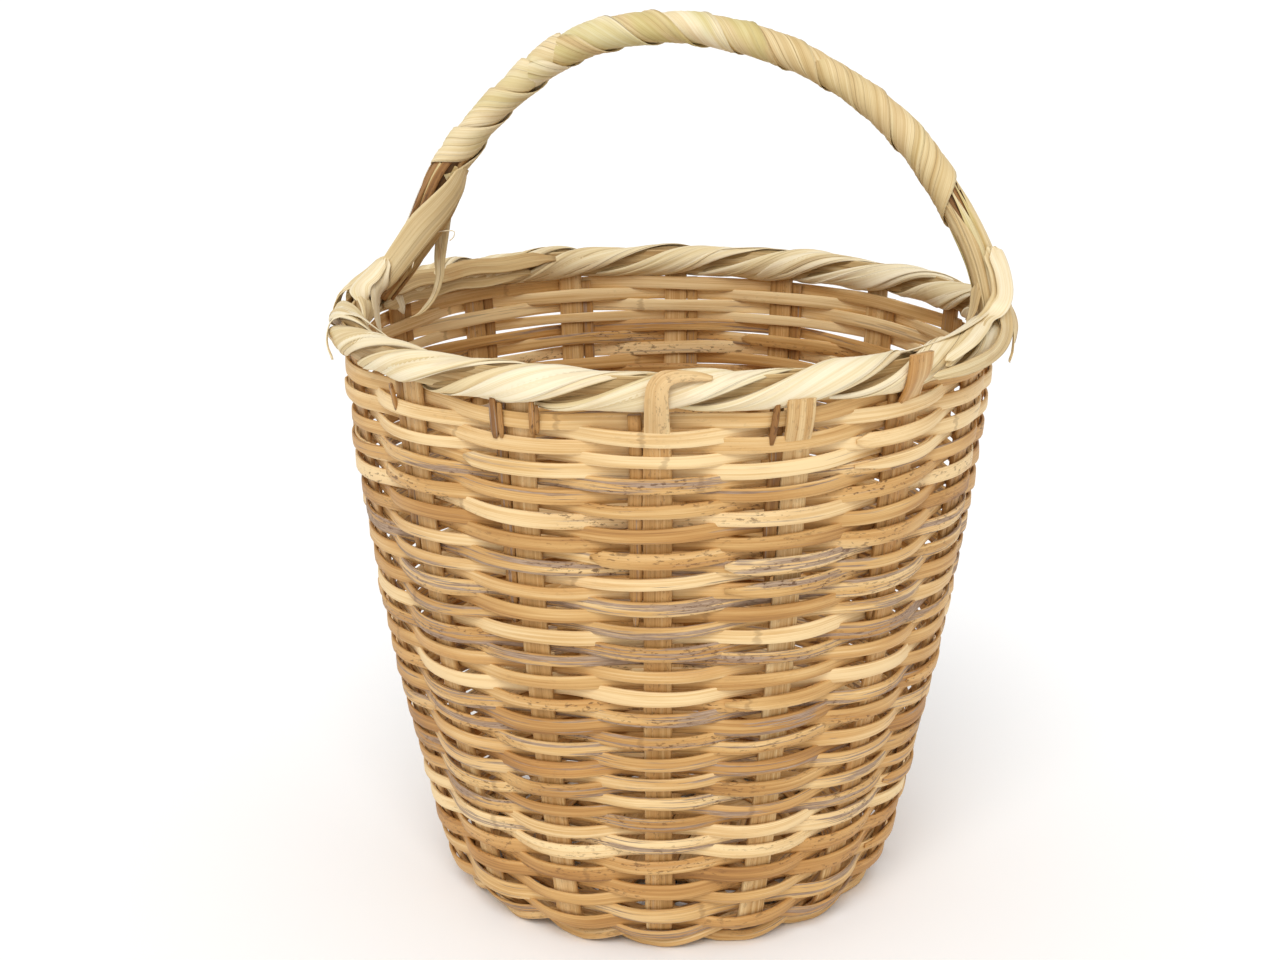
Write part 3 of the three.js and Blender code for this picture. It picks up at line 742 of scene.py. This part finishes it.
def make_base_weavers():
    """Two canes woven through the base's spokes in a flat spiral."""
    turns = (BASE_END - BASE_START - ROW_PITCH) / (2 * ROW_PITCH)
    for strand, letter in enumerate("ab"):
        strips = Strips(f"base_weaver_{letter}")
        rng = strips.rng
        t = np.arange(0, int(turns * POSITIONS), 1 / SAMPLES_PER_PASS)
        distance = BASE_START + ROW_PITCH * (strand + 2 * t / POSITIONS)
        point, outward, _ = on_surface(distance, stake_angle(t), CANE_OFFSET * over_under(t, strand))
        run = run_length(point)
        width = BASE_CANE_WIDTH * (1 + 0.08 * wander(rng, t, 3.0)) * end_taper(run, run[-1], 14.0, 14.0)
        strip = (rng.uniform(), rng.uniform(0.5, 0.7), 0.5)
        sweep(strips, point, outward, width, WEAVER_THICKNESS, strip, (0.5, 0.6, 0.0))
        strips.finish("weaver_cane")


def make_bindings():
    """Square ties round the crossing: over the canes along X and under those along Y."""
    level = CORNER_CENTRE[1] - CORNER_RADIUS + BASE_RISE
    for number, (reach, half, bend, share_of_offset) in enumerate(BINDINGS):
        strips = Strips(f"base_binding_{number + 1}")
        rng = strips.rng
        points = []
        for quarter in range(5):
            axis, side = axes(quarter * math.pi / 2)
            over = 1 if quarter % 2 == 0 else -1
            height = level + over * CANE_OFFSET * share_of_offset + over * BINDING_LIFT
            for share in (-1, -0.4, 0.4, 1)[:1 if quarter == 4 else 4]:
                inset = CORNER_INSET * (1 - min(1.0, (half - abs(share) * half) / bend))
                points.append(axis * (reach - inset) + side * share * half + UP * height)
        curve = smooth_curve(points, 1.6)
        strip = (rng.uniform(), 0.6, 0.2)
        sweep(strips, curve, -UP, BINDING_WIDTH, WEAVER_THICKNESS, strip, (0.4, 0.5, 0.0))
        strips.finish("weaver_cane")


make_base_weavers()
make_bindings()

# ---- leaves

LEAF_THICKNESS = 0.45
LEAF_COLUMNS = 11
LEAF_STEP = 1.6


def leaf_look(rng, tone, green=0.25, brown=0.2):
    """What the leaf material reads for one leaf, from the range of its tone."""
    strip = (rng.uniform(), rng.uniform(*tone), rng.uniform() * green)
    marks = (rng.uniform() * brown, rng.uniform(0.2, 1.0), 0.0)
    return strip, marks


def pleats(rng, u, run):
    """The cross-section of a creased leaf at each step: folds that wander slowly along it."""
    height = np.zeros((len(run), len(u)))
    for _ in range(rng.integers(2, 4)):
        at = rng.uniform(-0.75, 0.75) + 0.15 * wander(rng, run, 120.0)
        depth = rng.uniform(0.15, 0.4)
        away = u - at[:, None]
        height -= depth * np.exp(-(away / 0.13) ** 2)
        height += 0.35 * depth * rng.choice([-1, 1]) * np.tanh(away / 0.2)
    return height


def leaf_shell(strips, run, width, lay, looks, lift):
    """A thin leaf laid on a surface. lay(across, height) gives its points: across and height are
    in millimetres, one row for each step of run."""
    rng = strips.rng
    u = np.linspace(-1, 1, LEAF_COLUMNS)
    across = width[:, None] / 2 * u
    height = pleats(rng, u, run) + lift * (u * 0.5 + 0.5) ** 2
    thin = LEAF_THICKNESS * (1 - 0.5 * u ** 6)
    points = np.concatenate([lay(across, height + thin), lay(across, height)[:, ::-1]], 1)
    wide = np.concatenate([across, across[:, ::-1]], 1)
    along = np.broadcast_to(run[:, None] + rng.uniform(0, 900), wide.shape)
    deep = np.concatenate([np.zeros_like(across), np.full_like(across, -2.0)], 1)
    strips.add_grid(points, np.stack([along, wide, deep], -1), *looks)


# ---- foot and rim

RIM_AT = at_height(WALL_HEIGHT)
PLY_OUT = 3.1
PLY_UP = 3.0
PLY_HALF_WIDTH = 6.4
PLY_HALF_DEPTH = 3.9
PLY_INNER_SHARE = 0.55  # a ply is flatter on its inner side
CORE_COLUMNS = 34


def ply_point(strand, t, turn, height):
    """A point on one of the rim's two plies: t counts stakes, turn goes round the ply's section."""
    grids = np.broadcast_arrays(t, turn, height)
    t, turn, height = (grid.ravel() for grid in grids)
    point, outward, upward = on_surface(RIM_AT, stake_angle(t))
    phase = math.pi * (t + strand)
    swell = 1 + 0.09 * np.sin(2.3 * t + 1.9 * strand) + 0.06 * np.sin(5.2 * t)
    out, up = np.cos(phase)[:, None], np.sin(phase)[:, None]
    face = outward * out + upward * up
    side = upward * out - outward * up
    wobble = 0.45 * np.sin(1.7 * phase + strand)[:, None]
    point = point + outward * (PLY_OUT * out) + upward * (PLY_UP * up + wobble)
    inner = np.where(np.cos(turn) > 0, 1.0, PLY_INNER_SHARE)
    deep = inner * np.cos(turn) * (PLY_HALF_DEPTH * swell)
    wide = np.sin(turn) * (PLY_HALF_WIDTH * swell)
    normal = face * (np.cos(turn) / PLY_HALF_DEPTH)[:, None]
    normal = normal + side * (np.sin(turn) / PLY_HALF_WIDTH)[:, None]
    point = point + face * deep[:, None] + side * wide[:, None] + unit(normal) * height[:, None]
    return point.reshape(*grids[0].shape, 3)


def rim_core(strips, strand):
    """The ply's body: a bundle of creased leaves, darkened by 0.35 of painted shade from the shade mark,
    as it lies under the leaves.
    """
    rng = strips.rng
    t = np.linspace(0.02, POSITIONS - 0.02, POSITIONS * 22)
    turn = -np.linspace(0, TURN, CORE_COLUMNS, endpoint=False)
    run = t * TURN * WALL_TOP_RADIUS / POSITIONS
    crease = np.zeros((len(t), CORE_COLUMNS))
    for _ in range(6):
        at = rng.uniform(-math.pi, math.pi) + 0.5 * wander(rng, run, 160.0)
        away = (turn[None] - at[:, None] + math.pi) % TURN - math.pi
        crease -= rng.uniform(0.2, 0.5) * np.exp(-(away / 0.16) ** 2)
    points = ply_point(strand, t[:, None], turn, crease - 0.4)
    along, across = np.broadcast_arrays(run[:, None], turn * 5.5)
    grain = np.stack([along, across, 0 * along], -1)
    strip, marks = leaf_look(rng, (0.3, 0.4))
    # the marks' third value, 0.35, is painted shade for the core seen between the leaves
    strips.add_grid(points, grain, strip, (marks[0], marks[1], 0.35))


def rim_leaf(strips, strand, start, stop, turn_at, width, rise, lift):
    """A leaf lying along a ply, with pointed ends."""
    rng = strips.rng
    t = np.linspace(start, stop, int((stop - start) * 24))
    run = (t - start) * TURN * WALL_TOP_RADIUS / POSITIONS
    drift = turn_at + 0.3 * wander(rng, run, 150.0)
    breadth = width * end_taper(run, run[-1], 30.0, 34.0, 0.04)

    def lay(across, height):
        turn = drift[:, None] + across / 5.3
        fade = end_taper(run, run[-1], 16.0, 18.0, 0.0)[:, None]
        return ply_point(strand, t[:, None], turn, (height + rise) * fade - 0.3)

    leaf_shell(strips, run, breadth, lay, leaf_look(rng, (0.62, 0.98), 0.22, 0.25), lift)


def rim_hoop(strips, out, up, first, last, width, face_up, strip):
    """A flat band of leaf round the inside or the outside of the stakes' tops, within the rope."""
    angle = np.linspace(math.radians(first), math.radians(last), int(abs(last - first) / 2.2))
    share = np.linspace(0, 1, len(angle))
    point, outward, upward = on_surface(RIM_AT, angle, out, 0, up + 0.6 * np.sin(3 * TURN * share))
    face = outward * math.copysign(1, out) + upward * face_up
    ends = end_taper(share, 1.0, 0.12, 0.12, 0.3) if last - first < 300 else 1.0
    sweep(strips, point, face, width * ends, 0.9, strip, (0.5, 0.3, 0.0))


def make_rim():
    for strand, letter in enumerate("ab"):
        strips = Strips(f"rim_strand_{letter}")
        rng = strips.rng
        rim_core(strips, strand)
        for lane, turn_at in enumerate((-0.75, 0.85, 0.05)):
            at = rng.uniform(-1.5, 0.0) + 0.1
            while at < POSITIONS - 1.2:
                start, at = max(at, 0.05), at + rng.uniform(2.3, 4.2)
                stop = min(at + 0.5, POSITIONS - 0.05)
                width, lift = rng.uniform(9.5, 13.0), rng.uniform(0.1, 0.8)
                rim_leaf(strips, strand, start, stop, turn_at, width, 0.1 + 0.25 * lane, lift)
                at += rng.uniform(-0.5, 0.1)
        rim_hoop(strips, (-2.0, 2.0)[strand], 0, 3, 359, 12.0, 0, (0.4, 0.35, 0.0))
        if strand == 0:
            rim_hoop(strips, -7.6, 3.4, 128, 178, 8.5, 0.7, (0.6, 0.3, 0.0))
            rim_hoop(strips, -7.4, -2.4, 134, 180, 8.0, 0.2, (0.2, 0.42, 0.0))
        strips.finish("palm_leaf")


def make_foot():
    reach = STAKE_THICKNESS / 2 + CANE_GAP + FOOT_STRAND_RADIUS
    for strand, letter in enumerate("ab"):
        strips = Strips(f"foot_strand_{letter}")
        rng = strips.rng
        t = np.linspace(0.03, POSITIONS - 0.03, POSITIONS * 16)
        wave = np.cos(math.pi * (t + strand))
        cross = np.sin(math.pi * (t + strand))
        radius = FOOT_STRAND_RADIUS * (1 + 0.05 * wander(rng, t, 3.0))
        point, outward, _ = on_surface(FOOT_AT, stake_angle(t), reach * wave, 0, 3.1 * cross)
        point[:, 2] = np.maximum(point[:, 2], radius)
        strip = (rng.uniform(), rng.uniform(0.6, 0.8), 0.15)
        sweep(strips, point, outward, 2 * radius, 2 * radius, strip, (0.2, 0.5, 0.0), round_section(14))
        strips.finish("weaver_cane")


make_rim()
make_foot()

# ---- handle

HANDLE_POINTS = [  # x and height of its middle line, from the right foot to the left
    (141.9, 263), (142.6, 270), (141.5, 278), (136, 295), (124, 317), (102, 346.5), (68, 371),
    (31, 384.5), (-6, 388), (-45, 378.5), (-79, 352), (-103, 322.5), (-116, 296), (-122, 286),
    (-129, 277), (-136, 269), (-141, 262),
]
HANDLE = smooth_curve([(x, 0.0, z) for x, z in HANDLE_POINTS], 1.0)
HANDLE_RUN = run_length(HANDLE)
HANDLE_LENGTH = HANDLE_RUN[-1]
HANDLE_TANGENT = unit(np.gradient(HANDLE, axis=0))
WRAP_PITCH = 41.0
WRAP_RADIUS = 5.7
STRAIGHT_PITCH = 900.0  # of the leaves that run almost straight down the legs
RIGHT_LEG_LEAVES = (  # turn round the handle's middle line, and width
    (-2.2, 8.2), (-1.5, 3.6), (-1.0, 3.2), (-0.35, 7.0), (0.6, 8.0), (1.6, 8.0), (2.6, 8.0), (3.5, 8.0),
)


def handle_point(run, turn, radius):
    """A point round the handle's middle line. turn 0 faces outwards, and -90 degrees the front."""
    grids = np.broadcast_arrays(run, turn, radius)
    run, turn, radius = (grid.ravel() for grid in grids)
    centre = read_rows(run, HANDLE_RUN, HANDLE)
    tangent = unit(read_rows(run, HANDLE_RUN, HANDLE_TANGENT))
    beyond = run - np.clip(run, 0, HANDLE_LENGTH)
    centre = centre + tangent * beyond[:, None]
    in_plane = np.cross(SIDE, tangent)
    offset = in_plane * np.cos(turn)[:, None] + SIDE * np.sin(turn)[:, None]
    return (centre + offset * radius[:, None]).reshape(*grids[0].shape, 3)


LEFT_LEG = HANDLE_LENGTH - 62.0  # where the winding ends above the left foot
RIGHT_LEG = 46.0  # and above the right foot


def handle_thickness(run):
    """The wrapped handle is thicker towards its left leg, and uneven."""
    left = 0.4 * ease(250, 400, run) + 1.6 * ease(LEFT_LEG - 50, LEFT_LEG, run)
    return left + 0.35 * np.sin(run / 31.0) + 0.25 * np.sin(run / 13.0 + 1.0)


def wrap_leaf(strips, start, stop, phase, width, rise, lift, looks, pitch=WRAP_PITCH, ends=(10, 22)):
    """A leaf wound round the handle from start to stop, along the handle's middle line."""
    slope = math.atan2(TURN * WRAP_RADIUS, pitch)
    rng = strips.rng
    run = np.arange(start, stop, 1.8)
    length = (run - run[0]) / math.cos(slope)
    breadth = width * (1 + 0.1 * wander(rng, length, 90.0)) * end_taper(length, length[-1], *ends, 0.2)
    pitch_shift = 1.6 * wander(rng, run, 70.0) * math.sin(slope)

    def lay(across, height):
        along = run[:, None] + pitch_shift[:, None] - across * math.sin(slope)
        turn = phase + run[:, None] / pitch * TURN + across * math.cos(slope) / WRAP_RADIUS
        fade = end_taper(length, length[-1], 16, 20, 0.0)[:, None]
        radius = WRAP_RADIUS + handle_thickness(along) + (height + rise) * fade
        return handle_point(along, turn, radius)

    leaf_shell(strips, length, breadth, lay, looks, lift)


def handle_core(strips):
    """The bundle under the leaves, coloured dark brown as painted shade for the slits between them."""
    run = np.arange(4.0, HANDLE_LENGTH - 4.0, 4.0)
    width = 2 * (4.7 + 0.8 * handle_thickness(run)) * end_taper(run, HANDLE_LENGTH, 14, 14, 0.6)
    centre = handle_point(run, 0, 0)
    # painted shade for the slits: lowest tone, full brown and crease marks, and 0.75 of the shade mark
    dark = (0.5, 0.05, 0.0), (1.0, 1.0, 0.75)
    sweep(strips, centre, SIDE, width, width, *dark, round_section(16))


def leg_leaves(strips, number):
    """Leaves that run straight down the legs: all round the right one, and behind the left one."""
    rng = strips.rng
    for turn, width in RIGHT_LEG_LEAVES[number::2]:
        looks = leaf_look(rng, (0.45, 0.85), 0.9, 0.5)
        stop = rng.uniform(62, 84)
        wrap_leaf(strips, 5, stop, turn, width, 0.1, 0.5, looks, STRAIGHT_PITCH, (6, 26))
    for turn in (0.1, 1.1, 2.1, 3.0)[number::2]:
        looks = leaf_look(rng, (0.3, 0.7), 0.6, 0.6)
        start = LEFT_LEG - rng.uniform(10, 20)
        wrap_leaf(strips, start, HANDLE_LENGTH - 6, turn, 8.0, 0.2, 0.8, looks, -STRAIGHT_PITCH, (12, 8))


def make_wraps():
    for number, letter in enumerate("ab"):
        strips = Strips(f"handle_wrap_{letter}")
        rng = strips.rng
        if number == 0:
            handle_core(strips)
        leg_leaves(strips, number)
        at = RIGHT_LEG + 14 * number
        end = LEFT_LEG - 9 * number
        while at < end - 20:
            stop = min(at + rng.uniform(80, 150), end)
            if end - stop < 45:
                stop = end
            looks = leaf_look(rng, (0.5, 0.9), 0.8, 0.3)
            width, lift = rng.uniform(14.0, 16.2), rng.uniform(0.6, 1.5)
            wrap_leaf(strips, at, stop, math.pi * number, width, 0.5, lift, looks)
            at = stop - 16
        strips.finish("palm_leaf")


ROD_THICKNESS = 1.5
ROD_TURNS = {  # two flat strips each, as turns round the handle's middle line
    "handle_rod_front": (-1.7, -0.6), "handle_rod_back": (0.5, 1.5), "handle_rod_inner": (2.6, 3.6),
}


def make_rods():
    for name, turns in ROD_TURNS.items():
        strips = Strips(name)
        rng = strips.rng
        for turn_at in turns:
            run = np.arange(5.0, HANDLE_LENGTH - 5.0, 3.0)
            bare = ease(LEFT_LEG - 26, LEFT_LEG - 4, run)
            turn = turn_at + (0.12 + 0.3 * bare) * wander(rng, run, 120.0)
            radius = 4.5 + 0.8 * handle_thickness(run) + bare * rng.uniform(0.2, 1.6)
            centre = handle_point(run, turn, radius)
            face = centre - handle_point(run, turn, 0)
            strip = (rng.uniform(), rng.uniform(0.1, 0.6), rng.uniform(0, 0.3))
            sweep(strips, centre, face, rng.uniform(3.6, 4.8), ROD_THICKNESS, strip, (0.5, 0.7, 0.0))
        strips.finish("handle_cane")


# ---- the handle's feet on the rim

def away_from_core(points):
    """The way a leaf faces near a foot: out from the handle above, and out from the rim below."""
    nearest = np.argmin(np.linalg.norm(points[:, None] - HANDLE[None], axis=-1), axis=1)
    from_handle = unit(points - HANDLE[nearest])
    radial = unit(points * (1, 1, 0))
    from_rim = unit(points - radial * WALL_TOP_RADIUS - np.array([0, 0, WALL_HEIGHT]))
    share = ease(WALL_HEIGHT + 5, WALL_HEIGHT + 18, points[:, 2])[:, None]
    return unit(from_handle * share + from_rim * (1 - share))


def rim(degrees, out, up, width):
    """A place for foot_leaf: an angle round the rim, and how far out and up from its middle."""
    angle = math.radians(degrees)
    radius = WALL_TOP_RADIUS + out
    return radius * math.cos(angle), radius * math.sin(angle), up, width


def foot_leaf(
    strips, places, tone=(0.65, 0.95), green=0.15, brown=0.2, curl=0.25, lift=0.3, face=None, ends=(4, 3),
):
    """A leaf near a foot. Each place is x, y, height above the rim's middle, and width."""
    places = np.array(places, float) + (0, 0, WALL_HEIGHT, 0)
    looks = leaf_look(strips.rng, tone, green, brown)
    faces = away_from_core(places[:, :3]) if face is None else np.tile(face, (len(places), 1))
    curve = smooth_curve(np.concatenate([places[:, :3], unit(faces), places[:, 3:]], 1), LEAF_STEP)
    centre = curve[:, :3]
    face, side = frames_along(centre, curve[:, 3:6])
    run = run_length(centre)
    width = curve[:, 6] * end_taper(run, run[-1], *ends, least=0.12)

    def lay(across, height):
        sag = height - curl * across ** 2 / 10
        return centre[:, None] + side[:, None] * across[..., None] + face[:, None] * sag[..., None]

    leaf_shell(strips, run, width, lay, looks, lift)


# Each row is the lashing that holds a leaf, the leaf's places, and what else foot_leaf takes.
LEFT_LEAVES = [  # draped over the rim like a hand
    (0, [(-129, -7, 23, 7), (-132, -10, 15, 9), (-133, -13, 7, 10), (-132.5, -14.5, -2, 9.5),
         (-131, -15.5, -11, 6)]),
    (0, [(-130, -7, 22, 7), (-135, -11, 15, 9), (-138.5, -17, 10.5, 9.5), (-137, -23, 7.5, 9),
         (-133.5, -26, 1, 7)]),
    (1, [(-131, -6, 22, 7), (-137, -8, 15, 9), (-143, -12, 11, 10), (-148.5, -17, 6, 10),
         (-150.5, -20, -1, 8), (-149.5, -21, -8, 4)]),
    (1, [(-131, -4, 22, 7), (-138.5, -5, 15, 9), (-146, -8, 10.5, 10), (-151.5, -11, 5, 10),
         (-152.5, -13, -3, 7), (-151, -14, -9, 4)]),
    (0, [(-132, -2, 21, 7), (-140, 1, 14, 9), (-147, 3, 10, 10), (-152, 3, 4, 9), (-152.5, 3, -5, 6)]),
    (0, [(-128, 3, 22, 7), (-133, 8, 15, 9), (-136, 13, 9.5, 10), (-134, 16, 1, 9),
         (-131.5, 17, -9, 6)]),
    (1, [(-131, 3, 21, 7), (-138, 10, 14, 9), (-144, 17, 9.5, 10), (-149, 20, 2, 9),
         (-149.5, 20, -8, 6)]),
    # a thin loop beside them
    (1, [rim(214, 10, -8, 3.5), rim(211, 10.6, -2, 4.5), rim(208, 7.5, 5, 5), rim(208, 1.5, 8, 5),
         rim(212, -3.5, 8, 4.5), rim(218, -5, 7, 3), rim(226, -5, 5, 1.6)],
     (0.65, 0.95), 0.15, 0.2, 0.05, 0.2),
    # a green band across the leg, and a brown leaf behind it
    (0, [(-93, -2, 64, 9), (-96, -6.5, 55, 12), (-102.5, -10, 46, 13.5), (-111, -11, 37, 14),
         (-119, -10, 27.5, 13), (-126, -8.5, 19, 12), (-131.5, -8, 12, 10), (-135, -9, 7, 7)],
     (0.5, 0.62), 1.0, 0.35, 0.3, 0.8),
    (1, [(-93, 1, 62, 7), (-97.5, -4, 50, 8), (-104.5, -6.5, 38, 8.5), (-113, -6, 27, 8.5),
         (-121, -5, 17.5, 8), (-128, -3, 9, 6)],
     (0.3, 0.45), 0.3, 1.0, 0.3, 0.6),
    # a leaf that hangs into the basket
    (1, [(-101, 2, 56, 5), (-104.4, 4, 45, 6), (-106.7, 5, 33, 5.8), (-108.9, 6, 20, 5),
         (-109.3, 6, 11.5, 3.6), (-112.7, 5, 1.5, 2.6), (-119, 4, -5.5, 2), (-123.5, 4, -7.5, 1.2)],
     (0.55, 0.7), 0.1, 0.9, 0.5, 0.6, (0.45, -0.9, 0.1), (4, 10)),
]
FIBRE = [  # x, y and height above the rim's middle
    (-117, -9, 18), (-113.8, -8, 28), (-107.6, -6, 33.5), (-101.6, -5, 35), (-98.1, -4, 34.7),
    (-98.6, -4, 32), (-100.4, -4, 30.5),
]
RIGHT_LEAVES = [
    # creased leaves that come down the leg and splay to the left along the rim
    *[(number, [(142 - inset, -7, 38, 7), (146.5 - inset, -6, 27, 8), (148 - inset, -6, 17, 8),
                (145.5 - inset, -9, 11, 7), rim(-9, 2 - inset, 9.3, 6.5), rim(-15, 4 - inset, 8.4, 6),
                rim(-22, 7 - inset, 6.5, 5), rim(-30, 8.5, 3 - inset, 3)],
       (0.6, 0.9), 0.1, 0.3, 0.2, 1.2) for number, inset in ((0, 0.0), (1, 2.2))],
    (0, [(147, -3, 20, 6), rim(-2, 7, 8, 8), rim(-8, 9.3, 2.5, 8.5), rim(-15, 9.6, -1, 7.5),
         rim(-24, 9.2, -2, 6), rim(-33, 8.4, -2, 3)],
     (0.5, 0.8), 0.1, 0.4, 0.2, 1.3),
    # leaves that go over the rim
    (1, [(148, 0, 18, 6), rim(1, 9.5, 6, 8), rim(-2, 10.8, -2, 8.5), rim(-5, 10.4, -10, 6)],
     (0.5, 0.8), 0.1, 0.5, 0.2, 1.0),
    (1, [(147, 3, 16, 6), rim(4, 10.6, 4, 7), rim(5, 11.4, -2, 7), rim(6, 10.4, -8, 6)],
     (0.35, 0.45), 0.0, 0.8, 0.2, 0.6),
    (0, [(147, 4, 20, 6), rim(5, 6, 9, 8), rim(12, 8.5, 4, 8), rim(20, 8.8, -1, 6)],
     (0.5, 0.9), 0.1, 0.3, 0.2, 0.8),
    (1, [(137, 4, 20, 6), rim(4, -5, 10, 8), rim(8, -8.4, 2, 8), rim(10, -8.6, -7, 6)],
     (0.5, 0.9), 0.1, 0.3, 0.2, 0.8),
    (0, [(136.5, -5, 22, 6), rim(-3, -6.5, 10, 8), rim(-6, -8.6, 1, 8), rim(-8, -8.6, -8, 5)],
     (0.4, 0.7), 0.3, 0.5, 0.2, 0.8),
    # and one along its top
    (0, [rim(-4, -2, 9.5, 8), rim(-12, -3, 9, 9), rim(-20, -3, 8.2, 9), rim(-29, -2, 7.4, 6),
         rim(-37, 0, 7.2, 3)],
     (0.75, 0.95), 0.0, 0.2, 0.25, 0.6),
]


def make_lashings():
    for foot, leaves in (("left", LEFT_LEAVES), ("right", RIGHT_LEAVES)):
        pair = [Strips(f"lashing_{foot}_{number}") for number in (1, 2)]
        for number, places, *options in leaves:
            foot_leaf(pair[number], places, *options)
        if foot == "left":
            points = smooth_curve(np.array(FIBRE, float) + UP * WALL_HEIGHT, 1.2)
            pale = (0.2, 0.98, 0.0), (0.0, 0.0, 0.0)
            sweep(pair[1], points, -SIDE, 0.5, 0.35, *pale, round_section(6))
        for strips in pair:
            strips.finish("palm_leaf")


make_wraps()
make_rods()
make_lashings()

# ---- camera, light and floor

CAMERA_AT = (0.2002, -0.8775, 0.447)
CAMERA_DOWN = math.radians(16.2)
CAMERA_TURN = math.radians(13.65)
LENS = 57.66
SENSOR_WIDTH = 36.0
WORLD_STRENGTH = 0.78
SUN_STRENGTH = 1.45
SUN_SPREAD = math.radians(32)
SUN_TURN = (math.radians(42), 0, math.radians(6))
FLOOR_REACH = 40.0


def make_camera():
    data = bpy.data.cameras.new("camera")
    data.lens = LENS
    data.sensor_width = SENSOR_WIDTH
    data.clip_start = 0.01
    camera = placed("camera", data)
    camera.location = CAMERA_AT
    camera.rotation_euler = (math.pi / 2 - CAMERA_DOWN, 0, CAMERA_TURN)
    bpy.context.scene.camera = camera


def make_studio():
    world = bpy.data.worlds.new("studio")
    world.use_nodes = True
    background = world.node_tree.nodes["Background"]
    background.inputs["Color"].default_value = (1.0, 1.0, 1.0, 1.0)
    background.inputs["Strength"].default_value = WORLD_STRENGTH
    bpy.context.scene.world = world
    sun = bpy.data.lights.new("key", "SUN")
    sun.energy = SUN_STRENGTH
    sun.angle = SUN_SPREAD
    placed("key", sun).rotation_euler = SUN_TURN
    bpy.context.scene.view_settings.view_transform = "Standard"


def make_floor():
    mesh = bpy.data.meshes.new("floor")
    corners = [(x * FLOOR_REACH, y * FLOOR_REACH, 0) for x, y in ((-1, -1), (1, -1), (1, 1), (-1, 1))]
    mesh.from_pydata(corners, [], [(0, 1, 2, 3)])
    material = bpy.data.materials.new("floor")
    material.use_nodes = True
    surface = material.node_tree.nodes["Principled BSDF"]
    surface.inputs["Base Color"].default_value = (0.97, 0.97, 0.97, 1.0)
    surface.inputs["Roughness"].default_value = 0.9
    surface.inputs["Specular IOR Level"].default_value = 0.1
    mesh.materials.append(material)
    placed("floor", mesh)


make_camera()
make_studio()
make_floor()
